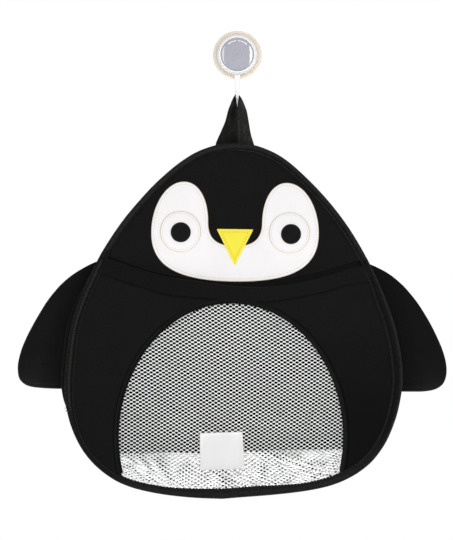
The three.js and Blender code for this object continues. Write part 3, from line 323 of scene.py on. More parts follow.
def hook_arm():
    """The arm: a flat bar's rounded section carried down the back, round a half circle and up the
    tip. The section is |a|^4 + |b|^4 = 1, half the width by half the thickness, and the last
    stretch shrinks as a circle does towards its end."""
    half = ARM_THICKNESS / 2
    centre = ARM_BACK + half
    turn = np.linspace(np.pi, 2 * np.pi, 33)
    down = np.linspace(ARM_TOP, BEND_LEVEL, 30, endpoint=False)
    down = np.stack([np.full(30, centre), down], 1)
    bend = np.stack([1 + np.cos(turn), np.sin(turn)], 1) * BEND_RADIUS + (centre, BEND_LEVEL)
    up = BEND_LEVEL + (TIP_LEVEL - BEND_LEVEL) * np.sin(np.linspace(0.08, np.pi / 2, 20))
    up = np.stack([np.full(20, centre + 2 * BEND_RADIUS), up], 1)
    path = np.vstack([down, bend, up])
    along = np.gradient(path, axis=0)
    along /= np.linalg.norm(along, axis=1, keepdims=True)
    left = np.clip((TIP_LEVEL - path[:, 1]) / half, 0, 1)
    past_bend = np.arange(len(path)) >= len(down) + len(bend)
    end = np.where(past_bend, np.sqrt(np.clip(1 - (1 - left) ** 2, 0, 1)), 1)
    width = np.interp(path[:, 1], *ARM_WIDTHS) / 2 * end
    u = np.arange(24) * 2 * np.pi / 24
    a = np.sign(np.cos(u)) * np.abs(np.cos(u)) ** 0.5
    b = np.sign(np.sin(u)) * np.abs(np.sin(u)) ** 0.5 * half
    x = width[:, None] * a
    h = path[:, :1] + (end * along[:, 1])[:, None] * b
    z = path[:, 1:] - (end * along[:, 0])[:, None] * b
    return np.stack([x, -h, z], -1)


skin(
    "hook_housing_moulded", [hook_arm()], white_plastic, "wall_hook", ["hook_housing"],
    rings=[turned(eased(HOUSING_PROFILE, 0.7))],
)


# Inside the housing: a slip washer, and the stem that the knob draws out by its steel cross pin.
# They are small turned pieces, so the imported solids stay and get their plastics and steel.
steel, tree, shader = finish("brushed_steel", {"Metallic": 1.0, "Roughness": 0.35})
where = add(tree, "TexCoord").outputs["Object"]
along_pin = add(tree, "Mapping", {"Vector": where, "Scale": (60, 3000, 3000)}).outputs[0]
brushing = add(tree, "TexNoise", {"Vector": along_pin, "Scale": 1.0, "Detail": 2.0})
mottled(tree, shader, 60, (0.48, 0.48, 0.5, 1), (0.66, 0.66, 0.67, 1), brushing.outputs["Fac"])
INSIDE = {"slip_washer": white_plastic, "cup_stem": white_plastic, "stem_cross_pin": steel}
for node, material in INSIDE.items():
    held = frame["nodes"][node].data.materials
    held.clear()
    held.append(material)


# Knob: a white ring with a small flange, a floor and two cam ramps, turned a quarter turn. A grey
# clear dome is pressed into it, printed near its top with two curved arrows.
KNOB_PROFILE = [
    (3.4, 12.3), (18.9, 12.3), (18.9, 14.9), (19.4, 15.1), (19.4, 16.4), (18.6, 17.6), (17.5, 17.6),
    (17.5, 16.7), (16.1, 16.7), (16.1, 13.8), (3.4, 13.8),
]
RAMP_INNER, RAMP_OUTER, RAMP_FOOT, RAMP_LOW, RAMP_RISE = 4.2, 9.0, 13.05, 14.1, 2.4
RAMP_LEVEL = 0.3  # radians of a level stretch at each end of a ramp
LENS_RADIUS, LENS_SEAT, LENS_EDGE, LENS_RISE, LENS_SHELL, LENS_WALL = 17.2, 17.0, 1.2, 3.4, 1.3, 1.4
LENS_TONES = (0.345, 0.345, 0.41, 1), (0.31, 0.31, 0.37, 1)
GATE_DOT, GATE_RING, GATE_RING_HALF = 0.0026, 0.0048, 0.0005  # metres: moulding marks in its middle
MARK_RADIUS, MARK_HALF = 14.2, 0.34
MARKS = ((113.5, 1, 38), (64, -1, 44))  # middle, way and span of each arrow, in degrees


def cam_ramp(pin_angle):
    """A ramp: a rectangle carried round the axis, its top rising evenly by the stem's travel."""
    back = np.linspace(np.pi / 2 + RAMP_LEVEL, -RAMP_LEVEL, 24)
    top = RAMP_LOW + RAMP_RISE * (1 - np.clip(back / (np.pi / 2), 0, 1))
    angle = (pin_angle - back)[:, None]
    r = np.array([RAMP_INNER, RAMP_OUTER, RAMP_OUTER, RAMP_INNER])
    h = np.stack([np.full(24, RAMP_FOOT)] * 2 + [top] * 2, 1)
    return np.stack([r * np.cos(angle), -h, r * np.sin(angle)], -1)


def dome(r):
    """Height of the lens: a paraboloid over its edge."""
    return LENS_SEAT + LENS_EDGE + LENS_RISE * (1 - (r / LENS_RADIUS) ** 2)


def curved_arrow(middle, turn, span):
    """A flat arrow bent round the lens: half its width is even, then steps out to the head's and
    falls to nothing, and it lies on the dome."""
    t = np.array([0, 0.15, 0.3, 0.45, 0.6, 0.74, 0.76, 0.88, 0.98, 1])
    half = np.array([1, 1, 1, 1, 1, 1, 2.6, 1.4, 0.15, 0.02]) * MARK_HALF
    angle = np.radians(middle + turn * (t - 0.5) * span)[:, None]
    r = MARK_RADIUS + half[:, None] * np.array([-1, 1, 1, -1])
    h = dome(r) + np.array([0.02, 0.02, 0.1, 0.1])
    return np.stack([r * np.cos(angle), -h, r * np.sin(angle)], -1)


skin(
    "cam_knob_ring", [cam_ramp(pin) for pin in (0, np.pi)], white_plastic, "knob",
    ["cam_knob"], rings=[turned(eased(KNOB_PROFILE, 0.45))],
)
lens_clear, tree, shader = finish(
    "grey_clear_plastic",
    {"Roughness": 0.05, "IOR": 1.6, "Coat Weight": 1.0, "Coat IOR": 1.8, "Coat Roughness": 0.02},
)
axis_gap = from_axis(tree)
ring_gap = math(tree, "ABSOLUTE", math(tree, "SUBTRACT", axis_gap, GATE_RING))
centre_ring = math(tree, "LESS_THAN", ring_gap, GATE_RING_HALF)
centre_dot = math(tree, "LESS_THAN", axis_gap, GATE_DOT)
mottled(tree, shader, 40, *LENS_TONES, math(tree, "MULTIPLY_ADD", centre_dot, 0.6, centre_ring))
inside = (LENS_RADIUS - LENS_WALL) * np.linspace(0, 1, 16)
outside = LENS_RADIUS * 0.985 * np.linspace(0, 1, 16)[::-1]
lens_profile = np.vstack([
    np.stack([inside, dome(inside) - LENS_SHELL], 1),
    [(inside[-1], LENS_SEAT), (LENS_RADIUS - 0.3, LENS_SEAT), (LENS_RADIUS, LENS_SEAT + 0.3)],
    [(LENS_RADIUS, LENS_SEAT + LENS_EDGE - 0.25)],
    np.stack([outside, dome(outside)], 1),
])
skin("knob_lens_dome", [turned(lens_profile)], lens_clear, "knob", ["knob_lens"])
print_white, tree, shader = finish("white_print", {"Roughness": 0.5})
mottled(tree, shader, 300, (0.9, 0.9, 0.9, 1), (0.95, 0.95, 0.95, 1))
arrows = [curved_arrow(*mark) for mark in MARKS]
skin("knob_arrows", arrows, print_white, "knob", crease=20)


# Tuft: foam fabric folded forwards along its middle, with its two halves spread by the hook at
# the top. Its end is sewn behind the top of the back, and a bridge across it lies in the hook.
BAG_TOP, BAG_SHIFT, LEAN = 92.8, -2.8, 0.0126
TUFT_LEFT = [  # (distance below the cup's middle, sideways place) of the left edge
    (41.4, -1.9), (46.6, -5.0), (52, -7.3), (58.3, -9.7), (64.6, -11.3), (70.9, -13.1), (77.1, -15.8),
    (83.4, -18.6), (89.7, -21.4), (93.8, -22.7), (100, -22.9), (108.5, -22.6),
]
TUFT_RIGHT = [
    (42.8, 2.3), (47.3, 5.4), (51.3, 7.2), (55.7, 8.9), (60.1, 10.3), (68.8, 11.9), (75.8, 13.0),
    (84.4, 14.7), (90, 16.4), (94.1, 17.6), (100, 17.8), (108.5, 17.6),
]
TUFT_HEIGHTS = (  # below the cup's middle; front of the fold; front of the edges
    [43.5, 47, 52, 58, 60.5, 63, 70, 77, 84, 88.8, 91, 92.8, 96, 109],
    [18.9, 19.6, 20.0, 19.8, 19.3, 17.8, 14.2, 11.2, 8.2, 6.0, 5.0, 4.4, 4.25, 4.25],
    [15.5, 12.8, 10.6, 9.4, 8.9, 8.4, 7.2, 6.4, 5.4, 4.8, 4.5, 4.4, 4.25, 4.25],
)
SLIT = (  # below the cup's middle; half the slit's width, until the halves overlap
    [41.4, 45, 47.3, 49.4, 51.5, 53.6, 55.5, 56.5, 110],
    [1.9, 1.35, 1.0, 0.85, 0.5, 0.3, 0.1, -0.6, -0.6],
)
TUFT_FOAM, TUFT_FLAT = 2.3, 3.9  # its thickness, and how far from its middle it stays level
CREASES = [  # sideways place, level, half width, half length, height, and painted light of the folds in it: paler as painted highlights on ridges, darker as painted shade in hollows
    (-4.6, 60, 2.4, 8, -1.6, -0.35), (1.8, 78, 0.9, 11, 0.7, 0.5), (4.6, 70, 1.6, 9, -0.7, -0.1),
    (7.6, 77, 1.4, 4, 0.5, 0.45), (-9.0, 68, 1.2, 5, 0.6, 0.45), (-3.5, 88, 7, 5, 0, -0.2),
    (13.2, 89, 1.5, 5, 0, 0.4), (3.6, 50, 1.6, 4, 0, 0.5),
]
BRIDGE_HALF, BRIDGE_LEVELS, BRIDGE_HEIGHTS = 6.2, (49.2, 55.1), (8.9, 11.4)


def flowing(knots, steps):
    """A smooth line through knots: between two of them a cubic, whose slope at a knot is that of
    the line between the knot's neighbours."""
    p = np.asarray(knots, float)
    slope = np.gradient(p, axis=0)
    u = np.linspace(0, len(p) - 1, steps)
    i = np.minimum(u.astype(int), len(p) - 2)
    t = (u - i)[:, None]
    return (
        (1 + 2 * t) * (1 - t) ** 2 * p[i] + t * (1 - t) ** 2 * slope[i]
        + t * t * (3 - 2 * t) * p[i + 1] + t * t * (t - 1) * slope[i + 1]
    )


def tuft_half(edge, side):
    """Half of the tuft: at each level a lens-shaped section from the fold to the edge. Its middle
    height stays level beside the hook and then falls to the edge's along a smooth step, and the
    creases are added to it as bell curves. With it, painted light: paler on the creases' ridges,
    darker in their hollows, as light falls on them."""
    level, outer = flowing(edge, 90).T[:, :, None]
    s = (1 - np.cos(np.linspace(0, np.pi, 23))) / 2
    fold = side * np.interp(level, *SLIT) + 0.25 * np.clip((level - 60) / 20, 0, 1)
    x = fold + (outer - fold) * s
    ridge, rim = (np.interp(level, TUFT_HEIGHTS[0], row) for row in TUFT_HEIGHTS[1:])
    t = np.clip((np.abs(x) - TUFT_FLAT) / np.maximum(np.abs(outer) - TUFT_FLAT, 2), 0, 1)
    front = rim + (ridge - rim) * (1 - t * t * (3 - 2 * t) * 0.45 - 0.55 * t)
    painted_light = 0 * x
    for place, along, wide, long, high, light in CREASES:
        bell = np.exp(-(((x - place) / wide) ** 2) - ((level - along) / long) ** 2)
        front, painted_light = front + high * bell * (1 - (2 * s - 1) ** 8), painted_light + light * bell
    tip = np.sqrt(np.clip((level - level[0]) / 4, 0.02, 1))
    thick = TUFT_FOAM * tip * (1 - np.abs(2 * s - 1) ** 6) ** 0.5
    mid = front - TUFT_FOAM / 2
    ring_x = np.concatenate([x, x[:, -2:0:-1]], 1)
    ring_h = np.concatenate([mid + thick / 2, (mid - thick / 2)[:, -2:0:-1]], 1)
    points = np.stack([ring_x, -ring_h, np.broadcast_to(-level, ring_x.shape)], -1)
    return points, np.concatenate([painted_light, painted_light[:, -2:0:-1]], 1)


def rounded_bar(across, low, high, rear, front, ease):
    """A strip across the bag: a rounded rectangle between two levels and two heights, carried
    along the sideways places given."""
    ring = eased([(low, rear), (high, rear), (high, front), (low, front)], ease)
    grid = np.broadcast_arrays(np.asarray(across, float)[:, None], -ring[:, 1], -ring[:, 0])
    return np.stack(grid, -1)


foam, tree, shader = finish(
    "black_foam_fabric",
    {"Roughness": 0.85, "Specular IOR Level": 0.03, "Sheen Weight": 0.02, "Sheen Roughness": 0.4},
)
where = add(tree, "TexCoord").outputs["Object"]
knit = add(tree, "TexVoronoi", {"Vector": where, "Scale": 1150.0}, feature="SMOOTH_F1")
cloud = add(tree, "TexNoise", {"Vector": where, "Scale": 45.0, "Detail": 5.0, "Roughness": 0.65})
fibre = add(tree, "TexNoise", {"Vector": where, "Scale": 700.0, "Detail": 2.0})
cloudy = math(tree, "MULTIPLY", cloud.outputs["Fac"], 0.25)
blotch = math(tree, "MULTIPLY_ADD", fibre.outputs["Fac"], 0.85, cloudy)
# Painted light: the attribute darkens the fabric as painted shade on the belly and near the flippers' seams,
# and lightens the flippers' rims as a painted highlight.
pressed = add(tree, "Attribute", attribute_name="cut").outputs["Fac"]
blotch = math(tree, "MULTIPLY", blotch, math(tree, "SUBTRACT", 1.0, pressed))
mottled(tree, shader, 45, (0.0040, 0.0040, 0.0042, 1), (0.0118, 0.0116, 0.0120, 1), blotch)
relief = math(tree, "MULTIPLY_ADD", fibre.outputs["Fac"], 0.5, knit.outputs["Distance"])
embossed(tree, shader, relief, 0.00012)
nap, tree, shader = finish(
    "black_foam_nap",
    {"Roughness": 0.8, "Specular IOR Level": 0.05, "Sheen Weight": 0.05, "Sheen Roughness": 0.4},
)
where = add(tree, "TexCoord").outputs["Object"]
drawn = add(tree, "Mapping", {"Vector": where, "Scale": (1, 1, 0.5)}).outputs[0]
fibre = add(tree, "TexNoise", {"Vector": drawn, "Scale": 600.0, "Detail": 4.0, "Roughness": 0.7})
sideways = add(tree, "SeparateXYZ", {0: where}).outputs
# Painted light: the right half of the tuft is painted paler, as the light from the right falls on it, its
# lower part a little paler, and the attribute adds the creases' painted highlights and shade.
half = smooth_step(tree, sideways["X"], -0.0015, 0.002)
down = smooth_step(tree, sideways["Z"], -0.055, -0.075)
nap_painted_light = math(tree, "MULTIPLY_ADD", half, 0.4, math(tree, "MULTIPLY", down, 0.1))
nap_painted_light = math(tree, "ADD", nap_painted_light, add(tree, "Attribute", attribute_name="cut").outputs["Fac"])
speckle = math(tree, "MULTIPLY_ADD", fibre.outputs["Fac"], 1.8, -0.4)
tone = math(tree, "MULTIPLY", speckle, math(tree, "ADD", nap_painted_light, 0.3))
mottled(tree, shader, 45, (0.002, 0.002, 0.002, 1), (0.044, 0.044, 0.041, 1), tone)
embossed(tree, shader, fibre.outputs["Fac"], 0.0003)
halves, painted_light = (np.stack(pair) for pair in zip(tuft_half(TUFT_LEFT, -1), tuft_half(TUFT_RIGHT, 1)))
tuft = skin(
    "tuft_folded", [halves], nap,
    replaces=["hang_loop", "loop_root"], crease=70, cut=painted_light,
)
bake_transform(tuft)
bridge_across = np.linspace(-BRIDGE_HALF, BRIDGE_HALF, 9)
bridge_bar = rounded_bar(bridge_across, *BRIDGE_LEVELS, *BRIDGE_HEIGHTS, 0.9)
bridge = skin("tuft_bridge", [bridge_bar], nap, "loop")


# Back panel: foam fabric cut to the penguin's whole outline. It is sewn to the head along the
# top, hangs a little to the left below the mouth, and ends a little above the front's bottom.
FOAM, EDGE = 3.0, 1.5  # thickness, and how far a panel's edge lies inside its binding
EDGE_ROUND = 1.6  # how far in from its edge a panel is rounded
PRESS_AT, PRESS_HALF = 6.3, 3.2  # where the seam presses it, in from its edge, and half the width
BACK_REAR, BACK_SHIFT, BACK_LIFT, LIFT_START = 6.1, 5.0, 9.0, 260.0
SHIFT_IN, SHIFT_OUT = (124.0, 70.0), (252.0, 50.0)  # drops where the shift starts and goes, and their runs
BACK_MIDDLE = np.array([-3.0, 170.0])  # where its rows of points close in
HALF_WIDTH, WIDEST, BODY_HEIGHT = 176.3, 245.6, 370.4
EDGE_RIGHT = [  # (sideways place, drop) of the bag's edge from its top to its lowest point
    (0, 0.1), (12, 0.7), (23, 2.3), (36.7, 7.1), (48.6, 13.2), (60.1, 21.4), (72.0, 31.8), (84.9, 44.2),
    (98.5, 58.7), (112.1, 75.3), (123.9, 91.9), (135.4, 110.6), (146.4, 131.5), (157.6, 156.0),
    (166.8, 180.2), (172.6, 202), (176.4, 224), (177.6, 240), (177.1, 254), (175.0, 268), (172.1, 281),
    (168.0, 293.5), (162.8, 306), (155.6, 318.5), (145.5, 331), (132.5, 341.6), (118.6, 349.5),
    (104.2, 355.2), (89.6, 359.0), (73.0, 362.0), (52.3, 364.7), (31.5, 366.8), (10.7, 368.6),
    (-8, BODY_HEIGHT),
]
EDGE_LEFT = [
    (0, 0.1), (-12, 0.9), (-22.1, 2.9), (-36.1, 8.0), (-47.8, 14.4), (-59.8, 22.9), (-72.3, 33.6),
    (-85.5, 46.3), (-98.9, 61.2), (-112.8, 78.1), (-124.7, 95.0), (-136.4, 114.0), (-147.6, 136.5),
    (-158.2, 161), (-166.0, 184.4), (-170.0, 205), (-172.3, 227), (-173.5, 245), (-173.4, 259), (-172.4, 273),
    (-169.6, 286), (-166.0, 297.6), (-160.7, 310.0), (-153.5, 322.4), (-143.4, 334.7), (-131.5, 345.0),
    (-118.4, 353.3), (-103.8, 359.3), (-88.1, 363.4), (-72.5, 366.2), (-56.9, 368.1), (-41.3, 369.4),
    (-25.7, 370.1), (-8, BODY_HEIGHT),
]


def hang(x, d, h):
    """A point of the hanging bag, from its sideways place, drop below the top edge and height
    from the wall, leaning a little to the left."""
    x, d, h = np.broadcast_arrays(x, d, h)
    across = BAG_SHIFT + x * np.cos(LEAN) - d * np.sin(LEAN)
    return np.stack([across, -h, -BAG_TOP - x * np.sin(LEAN) - d * np.cos(LEAN)], -1)


SIDE = {1: flowing(EDGE_RIGHT, 300), -1: flowing(EDGE_LEFT, 300)}


def stretch(sign, top, bottom):
    """The part of an edge between two drops."""
    edge = SIDE[sign]
    inner = edge[(edge[:, 1] > top + 0.2) & (edge[:, 1] < bottom - 0.2)]
    ends = [[(np.interp(d, edge[:, 1], edge[:, 0]), d)] for d in (top, bottom)]
    return np.vstack([ends[0], inner, ends[1]])


def even(path, steps):
    """A line cut into equal steps."""
    run = np.append(0, np.linalg.norm(np.diff(path, axis=0), axis=1).cumsum())
    at = np.linspace(0, run[-1], steps)
    return np.stack([np.interp(at, run, column) for column in path.T], 1)


def shifted(path):
    """The back's own outline: to the left of the front's between the mouth's corners and the
    lower bend, and ending higher."""
    d = path[:, 1]
    t, u = (np.clip((d - start) / run, 0, 1) for start, run in (SHIFT_IN, SHIFT_OUT))
    left = BACK_SHIFT * t * t * (3 - 2 * t) * (1 - u * u * (3 - 2 * u))
    lift = BACK_LIFT * np.clip((d - LIFT_START) / (BODY_HEIGHT - LIFT_START), 0, 1)
    return path - np.stack([left, lift], 1)


def round_bottom(right, left):
    """The bag's edge, clockwise from a drop at the right round the bottom to one at the left."""
    return np.vstack([stretch(1, right, BODY_HEIGHT), stretch(-1, left, BODY_HEIGHT)[::-1][1:]])


def inset(path, amounts, closed=False):
    """A clockwise line moved inwards by each of several amounts: lines by points by 2."""
    if closed:
        along = np.roll(path, -1, 0) - np.roll(path, 1, 0)
    else:
        along = np.gradient(path, axis=0)
    along /= np.linalg.norm(along, axis=1, keepdims=True)
    inwards = np.stack([-along[:, 1], along[:, 0]], 1)
    return path + np.reshape(amounts, (-1, 1, 1)) * inwards


PANEL_EDGE = np.array([0, 0.25, 0.8, 1.6, 3, 4.5, 6, 8, 11, 15, 20])  # distances in from the edge
PANEL_INNER = np.array([0.75, 0.5, 0.25, 0])  # then shares of what is left


def panel(outline, centre, rear, front, pressed):
    """A foam panel: its outline drawn in towards a centre, row by row, over the front, and again
    over the rear. The edge is rounded like an ellipse, and pressed lowers the front just inside
    the binding, as sewing does."""
    ray = outline - centre
    long = np.linalg.norm(ray, axis=1)
    last = long - PANEL_EDGE[-1]
    remain = np.vstack([long - PANEL_EDGE[:, None], last * PANEL_INNER[:, None]])
    rows = centre + ray[None] * (remain / long)[:, :, None]
    inwards = long - remain
    round_off = np.sqrt(1 - (1 - np.clip(inwards / EDGE_ROUND, 0, 1)) ** 2)
    dip = pressed * np.exp(-(((inwards - PRESS_AT) / PRESS_HALF) ** 2))
    mid, half = (rear + front) / 2, (front - rear) / 2
    ahead = hang(rows[..., 0], rows[..., 1], mid + half * round_off - dip)
    behind = hang(rows[..., 0], rows[..., 1], mid - half * round_off)
    return np.concatenate([ahead[::-1], behind[1:]])


back_edge = shifted(round_bottom(0.1, 0.1))[:-1]
back_line = inset(even(np.vstack([back_edge, back_edge[:1]]), 301)[:-1], [EDGE], closed=True)[0]
back_shell = panel(back_line, BACK_MIDDLE, BACK_REAR, BACK_REAR + FOAM, 0.25)
back_panel = skin("back_panel_foam", [back_shell], foam, "bag", ["back_panel"])


# Head panel: the upper front, foam fabric from the crown to the mouth, lying on the back. Its
# free lower edge is a shallow curve just above the pocket's rim, with a wider gap at the right.
HEAD_REAR = BACK_REAR + FOAM + 0.3
HEAD_FRONT = HEAD_REAR + FOAM
HEAD_CORNERS = (117.8, 118.6)  # drops of the mouth's left and right corners on the head
HEAD_LOWER = [  # (sideways place, drop) of the free edge between the corners
    (-78, 137.0), (-33, 143.2), (2, 147.0), (30, 145.0), (58, 140.4), (86, 134.4), (114, 126.0),
]
HEAD_MIDDLE = np.array([0.0, 92.0])
head_side = np.vstack([stretch(-1, 0, HEAD_CORNERS[0])[::-1], stretch(1, 0, HEAD_CORNERS[1])[1:]])
head_side = inset(even(head_side, 220), [EDGE])[0]
head_lower = flowing([head_side[-1], *HEAD_LOWER[::-1], head_side[0]], 120)
head_line = np.vstack([head_side, head_lower[1:-1]])
bound = np.append(np.ones(len(head_side)), np.zeros(len(head_lower) - 2))
head_shell = panel(head_line, HEAD_MIDDLE, HEAD_REAR, HEAD_FRONT, 0.5 * bound)
head_panel = skin("head_panel_foam", [head_shell], foam, "bag", ["head_panel"])


# Head binding: knit tape folded over the edges of head and back and sewn through with a chain
# stitch. The tape is puffed at the fold and sinks where the stitches pull it down, and its ridges
# are painted paler as painted highlights, differently at the left and the right as the light falls.
TAPE, TAPE_FIT, BINDING = 1.2, 0.3, 7.5  # thickness, room under it, and width behind
HEAD_TAPE_ENDS = {-1: 130.0, 1: 134.0}  # drops of its ends at the left and the right
HEAD_SEAM, HEAD_SEAM_IN = (2.9, 2.5, 0.7), 5.7  # pitch, length and thickness of the stitches, and their place
HEAD_CHAIN, HEAD_CHAIN_IN = (3.0, 2.9, 0.55, 0.2), 6.9  # and the slant in radians
HEAD_TURNS = [0, 0.42, 0.58, 1]  # shares of the edge between which it changes from left to right
CHAIN_HEIGHTS = [0.6, 0.6, 1.4, 1.4]  # of the chain over the head's front there, sunk at the left
HEAD_LEFT = [  # (distance in from the edge, height over the tape's level, painted light), towards the fold
    (7.7, -1.4, 0), (7.5, -0.8, 0.1), (6.9, -0.5, 0.2), (6.3, -0.5, 0.3), (5.7, -0.8, 0.3), (5.0, -0.2, 0.7),
    (3.6, 0.2, 1), (2.4, 0.3, 0.9), (1.4, 0.2, 0.8), (0.4, -0.6, 0.6),
]
HEAD_RIGHT = [
    (7.7, -1.4, 0), (7.5, -0.5, 0.4), (6.9, -0.1, 0.8), (6.3, -0.4, 0.6), (5.7, -1.0, 0), (5.0, -0.5, 0.35),
    (3.6, -0.1, 0.6), (2.4, 0.2, 0.85), (1.4, 0.3, 1), (0.4, -0.6, 1),
]


def folded_tape(rear, front, ridges):
    """Section of a tape folded round layers between two heights: (distance in from the edge,
    height, painted light) over its ridges in front, round the fold and back along its inside."""
    up, low, width = front + TAPE_FIT + TAPE, rear - TAPE_FIT - TAPE, BINDING
    outside = [(far, up + high, painted_light) for far, high, painted_light in ridges] + [
        (-0.1, up - 2.0, 0.3), (-0.1, low + 2.0, 0.3), (0.9, low + 0.4, 0.4), (width * 0.4, low - 0.35, 0.5),
        (width - 2.2, low + 0.2, 0.1), (width - 0.5, low + 0.05, 0.4),
    ]
    inside = [
        (width, low + TAPE, 0), (1.9, low + TAPE, 0), (1.2, low + 2.2, 0), (1.2, up - 2.2, 0),
        (1.9, up - TAPE - 0.25, 0), (ridges[0][0], up - TAPE - 0.9, 0),
    ]
    return eased(np.array(outside + inside), 0.6)


def between(at, knots, grids):
    """Grids given at knots along a line, mixed evenly in between."""
    knots, grids = np.asarray(knots, float), np.asarray(grids, float)
    i = np.clip(np.searchsorted(knots, at) - 1, 0, len(knots) - 2)
    t = np.clip((at - knots[i]) / (knots[i + 1] - knots[i]), 0, 1)[:, None, None]
    return grids[i] + (grids[i + 1] - grids[i]) * t


def bound_edge(path, sections, base):
    """A folded tape: the section for each point of an edge set square to it, over a base height."""
    along = np.gradient(path, axis=0)
    along /= np.linalg.norm(along, axis=1, keepdims=True)
    inwards = np.stack([-along[:, 1], along[:, 0]], 1)
    lanes = path[:, None] + sections[..., :1] * inwards[:, None]
    return hang(lanes[..., 0], lanes[..., 1], base(lanes[..., 0], lanes[..., 1]) + sections[..., 1])


def stitches(line, pitch, long, thick, slant=0.0):
    """A row of stitches on a line of points: each a spindle whose radius follows a half circle
    along it, with ends that dip into the cloth, slanted to one side and the other in turn. A pile
    of grids, one a stitch."""
    run = np.linalg.norm(np.diff(line, axis=0), axis=1).sum()
    spots = even(line, max(2, 2 * int(run / pitch) + 1))
    at = spots[1::2]
    way = spots[2::2] - spots[:-2:2]
    way /= np.linalg.norm(way, axis=1, keepdims=True)
    out = np.array([0, -1.0, 0])
    lean = slant * (-1.0) ** np.arange(len(way))[:, None]
    way = way * np.cos(lean) + np.cross(way, out) * np.sin(lean)
    side = np.cross(way, out)
    s = np.linspace(-1, 1, 6)[:, None]
    u = np.arange(6) * np.pi / 3
    radius = thick / 2 * np.sqrt(1 - s**2)
    lift = radius * np.cos(u) * 0.8 - thick * 0.35 * s**2
    along = at[:, None, None] + way[:, None, None] * (s * long / 2)[None, :, :, None]
    return along + side[:, None, None] * (radius * np.sin(u))[None, ..., None] + out * lift[None, ..., None]


tape, tree, shader = finish(
    "black_knit_tape",
    {"Roughness": 0.9, "Specular IOR Level": 0.05, "Sheen Weight": 0.03, "Sheen Roughness": 0.35},
)
run = add(tree, "SeparateXYZ", {0: add(tree, "UVMap", uv_map="lengths").outputs[0]}).outputs
loops = math(tree, "SINE", math(tree, "MULTIPLY", run["Y"], 2 * np.pi / 0.0014))
wales = math(tree, "SINE", math(tree, "MULTIPLY", run["X"], 2 * np.pi / 0.0011))
where = add(tree, "TexCoord").outputs["Object"]
fuzz = add(tree, "TexNoise", {"Vector": where, "Scale": 700.0, "Detail": 3.0})
knots = math(tree, "MULTIPLY_ADD", math(tree, "MULTIPLY", loops, wales), 0.3, fuzz.outputs["Fac"])
strong = add(tree, "MapRange", {0: knots, 1: 0.2, 2: 0.85}).outputs[0]
# Painted light: the attribute makes the tape's ridges paler, as painted highlights where light falls on them.
painted_ridge_light = add(tree, "Attribute", attribute_name="cut").outputs["Fac"]
strong = math(tree, "MULTIPLY", strong, math(tree, "MULTIPLY_ADD", painted_ridge_light, 0.88, 0.12))
mottled(tree, shader, 300, (0.0026, 0.0026, 0.0026, 1), (0.036, 0.0358, 0.0345, 1), strong)
embossed(tree, shader, knots, 0.00025)
thread_black, tree, shader = finish("black_thread", {"Roughness": 0.7, "Specular IOR Level": 0.04})
mottled(tree, shader, 900, (0.002, 0.002, 0.002, 1), (0.006, 0.006, 0.006, 1))
chain_black, tree, shader = finish("black_chain_thread", {"Roughness": 0.6, "Specular IOR Level": 0.1})
mottled(tree, shader, 700, (0.004, 0.004, 0.004, 1), (0.042, 0.042, 0.040, 1))


def wall(x, d):
    """The height that the head's and the back's tapes are counted from, nought all over."""
    return 0 * x


head_path = [stretch(-1, 0, HEAD_TAPE_ENDS[-1])[::-1], stretch(1, 0, HEAD_TAPE_ENDS[1])[1:]]
head_path = even(np.vstack(head_path), 240)
head_share = np.linspace(0, 1, 240)
head_sections = [folded_tape(BACK_REAR, HEAD_FRONT, ridges) for ridges in (HEAD_LEFT, HEAD_RIGHT)]
head_sections = between(head_share, HEAD_TURNS, np.repeat(head_sections, 2, axis=0))
skin(
    "head_binding_knit", [bound_edge(head_path, head_sections, wall)],
    tape, "bag", ["head_binding"], crease=60, cut=head_sections[..., 2],
)
seam_line = inset(head_path, [HEAD_SEAM_IN])[0]
head_seams = [hang(*seam_line.T, height) for height in (HEAD_FRONT + 0.6, BACK_REAR - 1.45)]
skin(
    "head_seam_stitches", [stitches(line, *HEAD_SEAM) for line in head_seams],
    thread_black, "bag",
)
chain_line = inset(head_path, [HEAD_CHAIN_IN])[0]
chain_line = hang(*chain_line.T, HEAD_FRONT + np.interp(head_share, HEAD_TURNS, CHAIN_HEIGHTS))
skin("head_chain_stitches", [stitches(chain_line, *HEAD_CHAIN)], chain_black, "bag")


# Face: a patch of white vinyl with two round lobes, two white discs and two black pupils for the
# eyes and a yellow beak, cut from sheet vinyl and sewn on in layers near their edges.
FACE_SHIFT = 1.6
PATCH_THICK, EYE_THICK, PUPIL_THICK, LAYER_GAP = 1.2, 1.0, 0.8, 0.3
PATCH_REAR = HEAD_FRONT + LAYER_GAP
EYE_REAR = PATCH_REAR + PATCH_THICK + LAYER_GAP
PUPIL_REAR = EYE_REAR + EYE_THICK + LAYER_GAP
FACE_CURVES = [  # right half, from the middle of the notch round to the middle of the chin
    [(0, 107.6), (19.7, 107.6), (28.2, 99.6), (28.2, 82.6)],
    [(28.2, 82.6), (28.2, 59.6), (37.8, 40.8), (53.8, 40.8)],
    [(53.8, 40.8), (72.8, 40.8), (87.8, 66), (87.8, 94)],
    [(87.8, 94), (87.8, 128), (62.8, 144.8), (0, 144.8)],
]
EYES = {"left": (-57.0, 93.2), "right": (57.0, 93.2)}
EYE_RADIUS, PUPIL_RADIUS = 21.4, 10.5
PUPIL_OFF = {"left": (0.2, 0.7), "right": (1.6, 1.2)}  # the pupils were sewn a little off the middle
BEAK = [(-19.3, 89.9), (19.3, 89.9), (0, 128.3)]
BEAK_INNER = 11.9  # radius of the circle that fits in it
BEAK_FURROW = [(2.0, 0), (2.4, 0.1), (3.0, 0.2), (3.6, 0.1), (4.0, 0)]  # place and depth, in from its edge
BEAK_SEAM, BEAK_SEAM_IN = (3.0, 1.9, 0.8), 3.0  # pitch, length and thickness of its stitches, and place
